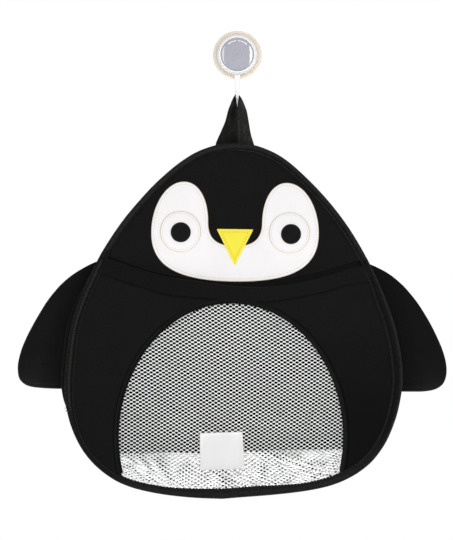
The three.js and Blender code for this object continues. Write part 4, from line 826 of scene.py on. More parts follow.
FACE_SEAM, EYE_SEAM, PUPIL_SEAM = (2.7, 2.1, 0.55), (2.5, 2.0, 0.5), (2.2, 1.8, 0.5)
FACE_SEAM_IN, EYE_SEAM_IN, PUPIL_SEAM_IN = 2.8, 2.4, 1.7
CUT = np.array([1, 1, 1, 1, 0.75, 0])  # share of the backing's colour in the rows of a patch
BEAK_FURROW_SHADE = np.array([0, 0, 0, 0, 0, 0, 0, 0.8, 1, 0.8, 0])  # painted shade only in the furrow, in the vinyl's edge colour


def bezier(corners, steps):
    """The cubic curve of four corners."""
    a, b, c, d = np.asarray(corners, float)
    t = np.linspace(0, 1, steps)[:, None]
    return (1 - t) ** 3 * a + 3 * t * (1 - t) ** 2 * b + 3 * t**2 * (1 - t) * c + t**3 * d


def patch(outline, rear, front):
    """A piece of sheet vinyl: its outline carried over the thickness with a rounded rim."""
    rows = inset(outline, [0.5, 0.12, 0, 0.1, 0.45, 0.95], closed=True)
    step = np.array([0, 0.08, 0.4, 0.75, 0.93, 1])[:, None]
    return hang(rows[..., 0], rows[..., 1], rear + (front - rear) * step)


def round_line(x, d, radius, steps=72):
    """A clockwise circle."""
    u = np.arange(steps) * 2 * np.pi / steps
    return np.stack([x + radius * np.sin(u), d - radius * np.cos(u)], 1)


def vinyl(name, dark, light, edge, rough, sheen):
    """Sheet vinyl: a fine leathery grain, and where the attribute says, the colour of its backing at its cut
    rim, or painted shade in a furrow.
    """
    made, tree, shader = finish(name, {"Roughness": rough, "Specular IOR Level": sheen})
    where = add(tree, "TexCoord").outputs["Object"]
    grain = add(tree, "TexVoronoi", {"Vector": where, "Scale": 1400.0}, feature="SMOOTH_F1")
    tone = mottled(tree, shader, 120, dark, light)
    rim = add(tree, "Attribute", attribute_name="cut").outputs["Fac"]
    cut = add(tree, "MixRGB", {"Fac": rim, "Color1": tone.outputs[0], "Color2": edge})
    tree.links.new(cut.outputs[0], shader.inputs["Base Color"])
    embossed(tree, shader, grain.outputs["Distance"], 0.00004)
    return made


def thread(name, dark, light):
    """Sewing thread, slightly shiny and uneven in tone."""
    made, tree, shader = finish(name, {"Roughness": 0.5, "Sheen Weight": 0.1})
    mottled(tree, shader, 900, dark, light)
    return made


vinyl_white = vinyl(
    "white_vinyl", (0.82, 0.80, 0.80, 1), (0.86, 0.845, 0.85, 1), (0.60, 0.49, 0.37, 1), 0.5, 0.4
)
vinyl_black = vinyl(
    "black_vinyl", (0.005, 0.005, 0.005, 1), (0.009, 0.009, 0.009, 1), (0.004, 0.004, 0.004, 1), 0.6, 0.05
)
# The yellow vinyl's edge colour serves the beak only as painted shade in its furrow.
vinyl_yellow = vinyl(
    "yellow_vinyl", (0.82, 0.725, 0.047, 1), (0.86, 0.775, 0.06, 1), (0.74, 0.56, 0.003, 1), 0.5, 0.4
)
thread_white = thread("white_thread", (0.46, 0.43, 0.41, 1), (0.60, 0.57, 0.55, 1))
thread_yellow = thread("yellow_thread", (0.92, 0.85, 0.16, 1), (0.96, 0.90, 0.26, 1))

half_face = np.vstack([bezier(curve, 30)[1:] for curve in FACE_CURVES])
mirrored = half_face[-2::-1] * (-1, 1)
face_line = np.vstack([half_face, mirrored, FACE_CURVES[0][:1], half_face[:1]])
face_line = even(face_line, 321)[:-1] + (FACE_SHIFT, 0)
face = skin(
    "face_patch_vinyl", [patch(face_line, PATCH_REAR, PATCH_REAR + PATCH_THICK)],
    vinyl_white, "bag", ["face_patch"], cut=CUT,
)


def sewn_round(outline, inwards, height, sizes):
    """Stitches along a closed outline, a little inside it."""
    line = inset(outline, [inwards], closed=True)[0]
    line = np.vstack([line, line[:1]])
    return stitches(hang(*line.T, height), *sizes)


white_rows = [sewn_round(face_line, FACE_SEAM_IN, PATCH_REAR + PATCH_THICK + 0.02, FACE_SEAM)]
for side, (x, d) in EYES.items():
    eye_line = round_line(FACE_SHIFT + x, d, EYE_RADIUS)
    skin(
        f"eye_disc_{side}_vinyl", [patch(eye_line, EYE_REAR, EYE_REAR + EYE_THICK)],
        vinyl_white, "bag", [f"eye_disc_{side}"], cut=CUT,
    )
    white_rows.append(sewn_round(eye_line, EYE_SEAM_IN, EYE_REAR + EYE_THICK + 0.02, EYE_SEAM))
    off = PUPIL_OFF[side]
    pupil_line = round_line(FACE_SHIFT + x + off[0], d + off[1], PUPIL_RADIUS)
    skin(
        f"pupil_{side}_vinyl", [patch(pupil_line, PUPIL_REAR, PUPIL_REAR + PUPIL_THICK)],
        vinyl_black, "bag", [f"pupil_{side}"], cut=CUT,
    )
    pupil_row = sewn_round(pupil_line, PUPIL_SEAM_IN, PUPIL_REAR + PUPIL_THICK + 0.05, PUPIL_SEAM)
    skin(f"pupil_{side}_stitches", [pupil_row], chain_black, "bag")
skin("face_stitches", white_rows, thread_white, "bag")
beak_line = eased(np.array(BEAK) + (FACE_SHIFT, 0), [0.7, 0.7, 1.0])
beak_line = even(np.vstack([beak_line, beak_line[:1]]), 121)[:-1]
beak_middle = np.array([FACE_SHIFT, BEAK[0][1] + BEAK_INNER])


def inside_beak(far):
    """The beak's outline drawn towards its middle until its sides lie a distance further in."""
    return beak_middle + (beak_line - beak_middle) * (1 - np.reshape(far, (-1, 1, 1)) / BEAK_INNER)


furrow_in, furrow_deep = np.array(BEAK_FURROW).T
furrow = inside_beak(furrow_in)
furrow = hang(furrow[..., 0], furrow[..., 1], EYE_REAR + EYE_THICK - furrow_deep[:, None])
beak_shell = np.concatenate([patch(beak_line, EYE_REAR, EYE_REAR + EYE_THICK), furrow])
skin("beak_vinyl", [beak_shell], vinyl_yellow, "bag", ["beak"], cut=BEAK_FURROW_SHADE)
beak_seam = inside_beak(BEAK_SEAM_IN)[0]
beak_seam = hang(*np.vstack([beak_seam, beak_seam[:1]]).T, EYE_REAR + EYE_THICK - 0.02)
skin("beak_stitches", [stitches(beak_seam, *BEAK_SEAM)], thread_yellow, "bag")


# Belly panel: foam fabric that stands off the back as the pocket's front, an arch round the mesh
# window. Its upper edge is the rim of the mouth, turned in and held by a hem stitch.
CORNERS = {-1: 119.2, 1: 125.2}  # drops of the mouth's corners on the pocket
RIM = [(-78, 138.9), (-33, 145.2), (6, 150.0), (40, 149.6), (70, 145.0), (100, 137.2), (122, 129.5)]
HEM = (  # sideways places, and how far the hem stitch lies below the rim there
    [-135, -113, -93, -74, -56, -40, 0, 37, 70, 135],
    [19.0, 18.8, 17.9, 18.9, 18.5, 18.1, 15.8, 15.8, 15.0, 17.4],
)
HEM_GROOVE, HEM_GROOVE_HALF, HEM_DOUBLE = 1.3, 1.0, 0.45  # depth, half width, and how much thicker above it
HEM_SEAM, HEM_ENDS = (3.0, 2.7, 0.7), (-138, 139)  # pitch, length and thickness of the stitches
POCKET_TOP, POCKET_DEPTH, DEPTH_RUN, BULGE_TOP, BULGE_BOTTOM = 124.0, 26.0, 185.0, 8.0, 5.0
WINDOW_HALF, WINDOW_RISE, WINDOW_DROP = 116.5, 138.5, 306.2
WINDOW_MARGIN = 1.5  # the panel's edge lies this far outside the window
WINDOW_GROOVE, WINDOW_GROOVE_AT, WINDOW_GROOVE_HALF = 1.2, 4.1, 0.6
RIM_TURN = 0.8  # radians from the window's top, opposite the mouth's corners
NEAR_WINDOW = np.array([0, 0.3, 0.8, 1.6, 2.6, 3.2, 3.6, 3.9, 4.2, 4.5, 4.9, 5.6, 7])  # rows of points
NEAR_EDGE = np.array([7, 5, 3.4, 2.2, 1.4, 0.7, 0.25, 0])


def belly_height(x, d):
    """Height of the belly's inner face: the side seams deepen as a quarter sine below the mouth,
    and a parabola bulges between them."""
    run = np.clip((d - POCKET_TOP) / DEPTH_RUN, 0, 1)
    half = np.interp(np.maximum(d, POCKET_TOP), SIDE[1][:, 1], SIDE[1][:, 0])
    half = np.where(d < WIDEST, half, HALF_WIDTH)
    bulge = BULGE_TOP + (BULGE_BOTTOM - BULGE_TOP) * run
    return HEAD_FRONT + 0.3 + POCKET_DEPTH * np.sin(run * np.pi / 2) + bulge * (1 - (x / half) ** 2)


def window_point(angle, outwards):
    """A point of the window's ellipse by its angle from the top, moved straight outwards."""
    angle, outwards = np.broadcast_arrays(angle, outwards)
    way = np.stack([WINDOW_RISE * np.sin(angle), -WINDOW_HALF * np.cos(angle)], -1)
    way /= np.linalg.norm(way, axis=-1, keepdims=True)
    spot = np.stack([WINDOW_HALF * np.sin(angle), WINDOW_DROP - WINDOW_RISE * np.cos(angle)], -1)
    return spot + outwards[..., None] * way


belly_path = round_bottom(CORNERS[1], CORNERS[-1])


def window_end(sign, outwards, distance):
    """The angle at which the window's outline comes within a distance of the belly's edge."""
    angle = np.linspace(np.pi / 2, np.pi, 600)
    spots = window_point(sign * angle, outwards)
    gap = np.linalg.norm(spots[:, None] - even(belly_path, 500)[None], axis=2).min(1)
    return sign * angle[np.argmax(gap < distance)]


rim_ends = [inset(belly_path, [EDGE])[0][k] for k in (-1, 0)]
rim_line = flowing([rim_ends[0], *RIM, rim_ends[1]], 140)


def belly_sections():
    """The belly panel: from the window's edge straight across to the outer edge, at steps along
    the left side, the rim and the right side. The front has grooves at the hem stitch and round
    the window, and a little more thickness above the hem stitch, where the hem is double. With it,
    painted shade on the fabric: darker towards the lower right, which faces away from the light, a
    little darker at the lower left, and darker above the hem at the left."""
    outer, turn = [], []
    for sign in (-1, 1):
        end = window_end(sign, WINDOW_MARGIN, 6.0)
        foot = window_point(end, WINDOW_MARGIN)
        near = SIDE[sign][np.argmin(np.linalg.norm(SIDE[sign] - foot, axis=1))]
        side = even(stretch(sign, CORNERS[sign], near[1]), 110)[::sign]
        outer.append(inset(side, [EDGE])[0])
        turn.append(np.linspace(end, sign * RIM_TURN, 110)[::-sign])
    rim_turn = np.linspace(-RIM_TURN, RIM_TURN, 140)
    outer = np.vstack([outer[0], rim_line[1:-1], outer[1]])
    inner = window_point(np.concatenate([turn[0], rim_turn[1:-1], turn[1]]), WINDOW_MARGIN)
    across = np.linalg.norm(outer - inner, axis=1)[:, None]
    fit = np.minimum(across / 20, 1)
    near, far = NEAR_WINDOW * fit, NEAR_EDGE * fit
    run = near[:, -1:] + (across - near[:, -1:] - far[:, :1]) * np.linspace(0, 1, 84)[1:-1]
    run = np.hstack([near, run, across - far])
    spots = inner[:, None] + (outer - inner)[:, None] * (run / across)[..., None]
    x, d = spots[..., 0], spots[..., 1]
    below = d - np.interp(x, rim_line[:, 0], rim_line[:, 1])
    hem = np.interp(x, *HEM)
    groove = HEM_GROOVE * np.exp(-(((below - hem) / HEM_GROOVE_HALF) ** 2))
    groove += WINDOW_GROOVE * np.exp(-(((run - WINDOW_GROOVE_AT) / WINDOW_GROOVE_HALF) ** 2))
    double = HEM_DOUBLE / (1 + np.exp((below - hem) / 0.8))
    rim = np.minimum(run, across - run)
    soft = np.sqrt(1 - (1 - np.clip(rim / EDGE_ROUND, 0, 1)) ** 2)
    base = belly_height(x, d)
    ahead = base + FOAM / 2 + soft * (FOAM / 2 + double - groove)
    behind = base + FOAM / 2 - soft * FOAM / 2
    dark = np.clip((d - 180) / 110, 0, 1) * (0.15 + 0.6 * (x > 0))
    dark += 0.28 / (1 + np.exp((below - hem) / 0.5)) * np.clip((30 - x) / 90, 0, 1)
    x, d, dark = (np.concatenate([v, v[:, -2:0:-3]], 1) for v in (x, d, dark))
    return hang(x, d, np.concatenate([ahead, behind[:, -2:0:-3]], 1)), dark


belly_points, belly_painted_shade = belly_sections()
belly = skin(
    "belly_panel_foam", [belly_points], foam, "bag", ["belly_panel"],
    crease=60, cut=belly_painted_shade,
)
hem_x = np.linspace(*HEM_ENDS, 240)
hem_d = np.interp(hem_x, rim_line[:, 0], rim_line[:, 1]) + np.interp(hem_x, *HEM)
hem_line = hang(hem_x, hem_d, belly_height(hem_x, hem_d) + FOAM - 0.35)
hem_stitch = skin("hem_stitches", [stitches(hem_line, *HEM_SEAM)], thread_black, "bag")


# Rim facing: the hem itself, a strip of the same foam fabric. It is the belly's upper edge turned
# in behind the rim, pressed flat and held by the hem stitch.
FACING, FACING_HALF, FACING_DROP = 14.0, 119.0, 0.6
FACING_FRONT, FACING_REAR = -0.3, -1.5  # heights over the belly's inner face
facing_x = np.linspace(-FACING_HALF, FACING_HALF, 80)[:, None]
facing_top = np.interp(facing_x, rim_line[:, 0], rim_line[:, 1]) + FACING_DROP
ring = [(0, FACING_FRONT), (FACING, FACING_FRONT), (FACING, FACING_REAR), (0, FACING_REAR)]
ring = eased(ring, 0.5)
facing_d = facing_top + ring[:, 0]
facing_points = hang(facing_x, facing_d, belly_height(facing_x, facing_d) + ring[:, 1])
skin("rim_facing_hem", [facing_points], foam, "bag", ["rim_facing"])


# Window edge: the arch's edge is turned over and stitched down, a soft roll about 5 mm wide
# with a groove on its outer side. Painted highlights make it paler where the light falls: on its
# outer slope at the left and on its inner slope and top at the right.
WINDOW_SECTION = [  # distance out from the window, height over the belly's inner face, painted light at the left and at the right
    (0.3, -0.2, 0, 0), (-0.2, 1.4, 0, 0), (0.2, 2.9, 0, 0.05), (1.1, 3.9, 0, 0.35), (2.4, 4.3, 0.05, 0.4),
    (3.7, 4.0, 0.4, 0.35), (4.6, 3.2, 0.6, 0.05), (5.0, 2.3, 0.1, 0), (3.0, 1.5, 0, 0),
]
WINDOW_SEAM, WINDOW_SEAM_OUT = (2.8, 2.3, 0.6), 5.6  # pitch, length, thickness of the stitches, and place
turns = [window_end(sign, 5.0, BINDING) for sign in (-1, 1)]
angles = np.linspace(*turns, 240)[:, None]
section = eased(WINDOW_SECTION, 0.8)
edge_points = window_point(angles, section[:, 0])
edge_x, edge_d = edge_points[..., 0], edge_points[..., 1]
edge_points = hang(edge_x, edge_d, belly_height(edge_x, edge_d) + section[:, 1])
# Painted light: the paler rows move from the left's outer slope to the right's inner slope and top.
rightness = (1 + np.sin(angles)) / 2
skin(
    "window_edge_fold", [edge_points], tape, "bag", ["window_binding"],
    crease=60, cut=section[:, 2] + (section[:, 3] - section[:, 2]) * rightness,
)
window_seam = window_point(angles[:, 0], WINDOW_SEAM_OUT)
window_seam = hang(*window_seam.T, belly_height(*window_seam.T) + FOAM - 0.5)
skin("window_stitches", [stitches(window_seam, *WINDOW_SEAM)], thread_black, "bag")


# Belly mesh: white warp-knit net with oval holes in staggered rows, 6.2 by 3.9 mm, sewn behind
# the window and into the binding at the bottom, where it hangs a little uneven.
NET_PITCH, NET_ROW = 6.22, 1.935  # between holes of a row, and between rows
HOLE = (1.92, 1.25)  # half a hole's width and height
CELL_HALF, CELL_TOP = 2.157, 0.953  # half the width of a six-sided cell in its middle and at its top
YARN = 0.16  # half the net's thickness
NET_BACK = 0.95  # its middle behind the belly's inner face
NET_MARGIN, NET_SEAM_IN = 4.0, 3.0  # outside the window, and in from the belly's lower edge
CELL = [(CELL_HALF, 0), (CELL_TOP, NET_ROW), (-CELL_TOP, NET_ROW)]
CELL = np.array([*CELL, *(-np.array(CELL))])


def net(name, columns, rows, open_half, lay, place, material, replaces):
    """A net from six-sided cells with an oval hole in each, on staggered rows. The cells' shared
    corners are the ridges of the yarn, in front and behind, and a hole's edge lies in the middle
    plane, so that a strand has a diamond section. lay turns flat places into (places held inside
    the net's outline, whether they had to be moved), and place puts them in space at a height."""
    i, j = (v.ravel() for v in np.meshgrid(np.arange(*columns), np.arange(*rows)))
    centre = np.stack([(i + 0.5 * (j % 2)) * NET_PITCH, j * NET_ROW], 1)
    corner = np.stack([CELL, (CELL + np.roll(CELL, -1, 0)) / 2], 1).reshape(-1, 2)
    turn = np.arctan2(corner[:, 1] / NET_ROW, corner[:, 0] / CELL_HALF)
    hole = np.stack([open_half[0] * np.cos(turn), open_half[1] * np.sin(turn)], 1)
    held = lay(centre)[1] < 1
    reach = lay((centre[:, None] + corner).reshape(-1, 2))[1].reshape(-1, 12)
    kept = centre[held | (reach < 1).any(1)]
    ridge = np.round((kept[:, None] + corner).reshape(-1, 2), 3)
    ridge, which = np.unique(ridge, axis=0, return_inverse=True)
    which = which.reshape(-1, 12)
    ridge_flat, moved = lay(ridge)
    hole_flat = lay((kept[:, None] + hole).reshape(-1, 2))[0]
    lift = np.where(moved, 0, YARN)
    n = len(ridge)
    points = np.vstack([place(ridge_flat, lift), place(ridge_flat, -lift), place(hole_flat, 0)]) / 1000
    edge = 2 * n + np.arange(len(kept) * 12).reshape(-1, 12)
    ahead = np.stack([which, np.roll(which, -1, 1), np.roll(edge, -1, 1), edge], -1)
    behind = np.stack([which + n, edge, np.roll(edge, -1, 1), np.roll(which, -1, 1) + n], -1)
    faces = np.concatenate([ahead.reshape(-1, 4), behind.reshape(-1, 4)]).tolist()
    return made_mesh(name, points, faces, None, material, "bag", replaces, crease=180)


net_white, tree, shader = finish("white_net_yarn", {"Roughness": 0.6, "Specular IOR Level": 0.3})
mottled(tree, shader, 500, (0.93, 0.93, 0.935, 1), (0.98, 0.98, 0.98, 1))
where = add(tree, "TexCoord").outputs["Object"]
yarn = add(tree, "TexNoise", {"Vector": where, "Scale": 2500.0, "Detail": 2.0})
embossed(tree, shader, yarn.outputs["Fac"], 0.00003)

lower_edge = inset(even(belly_path, 600), [NET_SEAM_IN])[0]
lower_edge = lower_edge[lower_edge[:, 1] > 300]
lower_edge = lower_edge[np.argsort(lower_edge[:, 0])]


def lay_belly(flat):
    """The mesh as it hangs: waved by slow sines, then held within the window and its margin and
    above the bottom seam."""
    x, d = flat.T
    x, d = x + 2.6 * np.sin(0.027 * (d - 205) + 0.011 * x), d + 1.7 * np.sin(0.02 * x + 0.4)
    half, rise = WINDOW_HALF + NET_MARGIN, WINDOW_RISE + NET_MARGIN
    off = np.hypot(x / half, (d - WINDOW_DROP) / rise)
    low = np.interp(x, lower_edge[:, 0], lower_edge[:, 1])
    pull = np.maximum(off, 1)
    held = np.stack([x / pull, WINDOW_DROP + (d - WINDOW_DROP) / pull], 1)
    held[:, 1] = np.minimum(held[:, 1], np.interp(held[:, 0], lower_edge[:, 0], lower_edge[:, 1]))
    return held, (off > 1) | (d > low)


def place_belly(flat, lift):
    """Just behind the belly's inner face."""
    return hang(*flat.T, belly_height(*flat.T) - NET_BACK + lift)


belly_net = net(
    "belly_mesh_net", (-21, 21), (84, 195), HOLE, lay_belly, place_belly, net_white, ["belly_mesh"],
)


# Label: a small woven piece of white satin. Its edges are folded under, which makes a raised
# border, and it is sewn on the front of the mesh a little askew.
LABEL_SIZE, LABEL_PLACE, LABEL_TURN, LABEL_SPREAD = (45.5, 38.6), (-9.4, 320.8), 0.045, 0.025
# Painted shade in the crease inside the label's folded border.
LABEL_CREASE_SHADE = (0.70, 0.64, 0.62, 1)
label_white, tree, shader = finish("white_woven_label", {"Roughness": 0.55, "Sheen Weight": 0.1})
run = add(tree, "SeparateXYZ", {0: add(tree, "TexCoord").outputs["Object"]}).outputs
warp = math(tree, "SINE", math(tree, "MULTIPLY", run["X"], 2 * np.pi / 0.0005))
weft = math(tree, "SINE", math(tree, "MULTIPLY", run["Z"], 2 * np.pi / 0.0007))
tone = mottled(tree, shader, 90, (0.735, 0.725, 0.725, 1), (0.775, 0.77, 0.775, 1))
border = add(tree, "Attribute", attribute_name="cut").outputs["Fac"]
folded = add(tree, "MixRGB", {"Fac": border, "Color1": tone.outputs[0], "Color2": LABEL_CREASE_SHADE})
tree.links.new(folded.outputs[0], shader.inputs["Base Color"])
embossed(tree, shader, math(tree, "MULTIPLY", warp, weft), 0.00003)


def label_sheet():
    """The label: a rounded square whose folded border stands a little higher, on the mesh, with
    its corners lifting slightly. With it, the painted shade in the crease inside the border, deeper
    towards the right."""
    u = np.linspace(-1, 1, 41)
    a, b = np.meshgrid(u, u, indexing="ij")
    from_edge = np.minimum((1 - np.abs(a)) * LABEL_SIZE[0] / 2, (1 - np.abs(b)) * LABEL_SIZE[1] / 2)
    fold = 0.4 * np.exp(-(((from_edge - 1.2) / 0.9) ** 2))
    lift = 0.5 * np.abs(a * b) ** 3 + 0.25 * np.sin(2.2 * a + 1.2 * b)
    wide = LABEL_SIZE[0] * (1 + LABEL_SPREAD * b)
    x = LABEL_PLACE[0] + (a * np.cos(LABEL_TURN) * wide + b * np.sin(LABEL_TURN) * LABEL_SIZE[1]) / 2
    d = LABEL_PLACE[1] + (b * np.cos(LABEL_TURN) * LABEL_SIZE[1] - a * np.sin(LABEL_TURN) * wide) / 2
    base = belly_height(x, d) + 0.25 + lift
    rim = np.sqrt(1 - (1 - np.clip(from_edge / 0.4, 0, 1)) ** 2) * 0.35
    crease = np.exp(-(((from_edge - 2.6) / 0.6) ** 2)) * (0.45 + 0.35 * a)
    return hang(x, d, base + rim + fold), hang(x, d, base - rim), crease


label_front, label_rear, label_crease_shade = label_sheet()
label_ring = np.concatenate([label_front, label_rear[:, -2:0:-1]], 1)
label_crease_shade = np.concatenate([label_crease_shade, 0 * label_crease_shade[:, -2:0:-1]], 1)
label = skin("label_woven", [label_ring], label_white, "bag", ["label"], cut=label_crease_shade)


# Gussets: strips of foam fabric that make the pocket's side walls, sewn into the back's and the
# belly's bindings and bowed outwards between them.
GUSSET_TOP, GUSSET_END = 132.0, 273.0
GUSSET_IN, GUSSET_BOW, GUSSET_FOAM = 8.6, 4.2, 2.6  # in from the edges, bow and thickness


def gusset(sign):
    """A side wall: its section runs from the back's binding to the belly's, bowed outwards by a
    half sine, with the foam's thickness inwards."""
    front = even(stretch(sign, GUSSET_TOP, GUSSET_END), 70)
    back = shifted(front)
    if sign < 0:
        front, back = front[::-1], back[::-1]
    w = np.linspace(0, 1, 12)
    ring = np.concatenate([w, w[::-1]])
    deep = GUSSET_IN - GUSSET_BOW * np.sin(np.pi * ring) + np.repeat([0, GUSSET_FOAM], 12)
    near, far = inset(front, deep), inset(back, deep)
    spots = (far + (near - far) * ring[:, None, None]).transpose(1, 0, 2)
    x, d = spots[..., 0], spots[..., 1]
    low, high = BACK_REAR + FOAM + 1.2, belly_height(x, d) - 2.6
    return hang(x, d, low + (np.maximum(high, low + 0.4) - low) * ring)


for side, sign in (("left", -1), ("right", 1)):
    side_wall = skin(
        f"gusset_{side}_foam", [gusset(sign)], foam, "bag",
        [f"gusset_{side}"], crease=60,
    )


# Drain mesh: a strip of the same net that closes the pocket's bottom. Its rear edge goes down beside
# the back's binding and straight across the back panel, and its front edge is in the belly's binding.
DRAIN_TOP, DRAIN_SEAM, SEAM_TILT = 268.0, 322.9, 0.034
DRAIN_SAG, DRAIN_PEEP, DRAIN_PUCKER = 2.5, 6.4, 1.3
DRAIN_BACK_IN, DRAIN_FRONT_IN = 7.0, 5.0  # in from the edges of the back and the belly
DRAIN_HOLE = (1.44, 0.91)
drain_edge = round_bottom(DRAIN_TOP, DRAIN_TOP)
drain_back = inset(even(shifted(drain_edge), 300), [DRAIN_BACK_IN])[0]
drain_back = even(drain_back[drain_back[:, 1] < DRAIN_SEAM - SEAM_TILT * drain_back[:, 0]], 400)
drain_front = even(inset(even(drain_edge, 300), [DRAIN_FRONT_IN])[0], 400)
back_points = hang(*drain_back.T, BACK_REAR + FOAM + 0.6)
front_points = hang(*drain_front.T, belly_height(*drain_front.T) - 1.9)
middle_points = (back_points + front_points) / 2
drain_wide = np.linalg.norm(np.diff(middle_points, axis=0), axis=1).sum()
drain_deep = np.linalg.norm(front_points - back_points, axis=1).mean()


def lay_drain(flat):
    """The strip's places held within its length and depth."""
    limit = np.array([drain_wide / 2, drain_deep / 2])
    held = np.clip(flat, -limit, limit)
    return held, (np.abs(flat) > limit).any(1)


def place_drain(flat, lift):
    """Straight from the back's edge to the belly's, sagging outwards by a parabola, more at the
    upper left, where it peeps out between the bindings. The sag is puckered by a slanted sine
    whose phase wanders by another."""
    at = (flat[:, 0] / drain_wide + 0.5) * (len(back_points) - 1)
    x, y = flat.T[:, :, None]
    sag = DRAIN_SAG + DRAIN_PEEP * np.exp(-(((drain_wide / 2 - x - 12) / 7) ** 2))
    sag += DRAIN_PUCKER * np.sin(0.34 * x + 0.19 * y + 2.2 * np.sin(0.08 * x + 0.13 * y))
    v = y / drain_deep + 0.5
    rear, fore, along = (
        np.stack([np.interp(at, np.arange(len(line)), column) for column in line.T], 1)
        for line in (back_points, front_points, np.gradient(middle_points, axis=0))
    )
    out = np.cross(along, fore - rear)
    out /= np.linalg.norm(out, axis=1, keepdims=True)
    out *= np.where(out[:, 2:] > 0, -1, 1)
    return rear + (fore - rear) * v + out * (sag * 4 * v * (1 - v) + np.reshape(lift, (-1, 1)))


drain_white, tree, shader = finish("white_drain_yarn", {
    "Roughness": 0.6, "Specular IOR Level": 0.3,
    "Subsurface Weight": 0.9, "Subsurface Scale": 0.0005, "Subsurface Radius": (1.0, 1.0, 1.0),
})
mottled(tree, shader, 500, (0.94, 0.94, 0.945, 1), (0.99, 0.99, 0.99, 1))
half_columns, half_rows = int(drain_wide / 2 / NET_PITCH) + 2, int(drain_deep / 2 / NET_ROW) + 2
drain = net(
    "drain_mesh_net", (-half_columns, half_columns), (-half_rows, half_rows), DRAIN_HOLE,
    lay_drain, place_drain, drain_white, ["drain_mesh"],
)


# Back binding: the same knit tape, folded over the back's sides and lower edge and the gussets' and
# the drain mesh's rear seams. It is sewn with one plain row, and has less painted highlight on its
# ridges than the head's, as it lies in shade.
BACK_TAPE_TOP = 125.0
BACK_SEAM, BACK_SEAM_IN = (2.9, 2.5, 0.8), 5.3  # pitch, length and thickness of the stitches, and their place
back_path = shifted(round_bottom(BACK_TAPE_TOP, BACK_TAPE_TOP))
back_path = even(back_path, 420)
back_sections = np.tile(folded_tape(BACK_REAR, BACK_REAR + FOAM, HEAD_LEFT), (len(back_path), 1, 1))
skin(
    "back_binding_knit", [bound_edge(back_path, back_sections, wall)],
    tape, "bag", ["back_binding"], crease=60, cut=0.3 * back_sections[..., 2],
)
seam_line = inset(back_path, [BACK_SEAM_IN])[0]
seam_line = hang(*seam_line.T, BACK_REAR - 1.45)
skin("back_seam_stitches", [stitches(seam_line, *BACK_SEAM)], thread_black, "bag")


# Belly binding: the tape round the pocket's sides and bottom, over belly, mesh and gusset. It is
# sewn with two plain rows and a chain of slanted stitches, and its width and ridges change along it.
RIDGES = {  # (share of the width in from the edge, height over the tape's level, painted light)
    "right": [
        (1, -2.0, 0), (0.98, -1.0, 0), (0.94, -0.6, 0.1), (0.89, -0.1, 0.5),
        (0.71, -0.1, 0.5), (0.64, -0.9, 0), (0.58, -0.5, 0.1), (0.42, -0.4, 0.15),
        (0.25, -0.4, 0.25), (0.17, 0, 0.8), (0.08, 0.1, 1), (0.02, -0.8, 0.8),
    ],
    "bottom": [
        (1, -2.0, 0), (0.98, -0.8, 0.2), (0.93, -0.3, 0.5), (0.84, -0.2, 0.6),
        (0.76, -0.2, 0.6), (0.71, -0.3, 0.55), (0.64, -0.2, 0.65), (0.45, -0.1, 0.75),
        (0.25, -0.2, 0.65), (0.17, -0.1, 0.6), (0.08, 0, 0.5), (0.02, -0.9, 0.2),
    ],
    "bend": [
        (1, -2.0, 0), (0.98, -1.0, 0), (0.93, -0.7, 0.1), (0.86, -0.1, 0.8),
        (0.78, 0, 0.9), (0.70, -0.5, 0.3), (0.62, -0.6, 0.2), (0.45, -0.4, 0.3),
        (0.25, -0.3, 0.35), (0.17, -0.2, 0.45), (0.08, 0, 0.5), (0.02, -0.9, 0.3),
    ],
    "left": [
        (1, -2.0, 0), (0.98, -0.9, 0.2), (0.93, -0.5, 0.45), (0.82, -0.4, 0.45),
        (0.72, -0.6, 0.2), (0.67, -1.1, 0), (0.61, -0.6, 0.3), (0.53, 0, 0.55),
        (0.34, 0, 0.55), (0.28, -0.4, 0.3), (0.13, -0.1, 0.5), (0.03, -0.9, 0.3),
    ],
}
STATIONS = [  # (distance along the edge from the right corner of the mouth, width, ridges)
    (-8, 7.4, "right"), (0, 8.6, "right"), (20, 10.5, "right"), (41, 12.8, "right"), (104, 12.2, "right"),
    (146, 11.4, "right"), (179, 10.4, "right"), (247, 9.4, "bottom"), (300, 8.2, "bottom"),
    (339, 10.2, "bottom"), (389, 10.4, "bottom"), (439, 8.0, "bottom"), (478, 7.6, "bottom"),
    (510, 6.6, "bend"), (552, 6.4, "bend"), (595, 9.8, "left"), (616, 10.4, "left"), (680, 10.4, "left"),
    (728, 10.6, "left"), (745, 9.6, "left"), (753, 8.6, "left"), (761, 7.4, "left"),
]
OVERLAP = 8.0  # of the tape over the head's, at each corner of the mouth
OVERLAP_DROP = OVERLAP * 0.87  # straight down, because the edge slants there
PRESSED = (  # distances along the edge, and how much lower the tape lies there on thin layers
    [-8, 0, 24, 255, 285, 455, 485, 729, 753, 761],
    [3.5, 1.0, 0, 0, 1.8, 1.8, 0, 0, 1.0, 3.5],
)
BELLY_SEAM = (3.4, 2.7, 0.8)  # pitch, length and thickness of the plain stitches
front_path = even(round_bottom(CORNERS[1] - OVERLAP_DROP, CORNERS[-1] - OVERLAP_DROP), 580)
front_path = inset(front_path, [-0.15])[0]
run = np.append(0, np.linalg.norm(np.diff(front_path, axis=0), axis=1).cumsum()) - OVERLAP
pressed = np.interp(run, *PRESSED)
knots, widths, names = zip(*STATIONS)
ridges = np.array([np.array(RIDGES[name]) * (width, 1, 1) for width, name in zip(widths, names)])
tape_sections = between(run, knots, [folded_tape(-1.5, FOAM, rows) for rows in ridges])
ridges = between(run, knots, ridges)


def belly_base(x, d):
    """Height that the belly's binding is counted from: the belly's, lower where it is pressed."""
    return belly_height(x, d) - np.reshape(pressed, (-1,) + (1,) * (np.ndim(x) - 1))


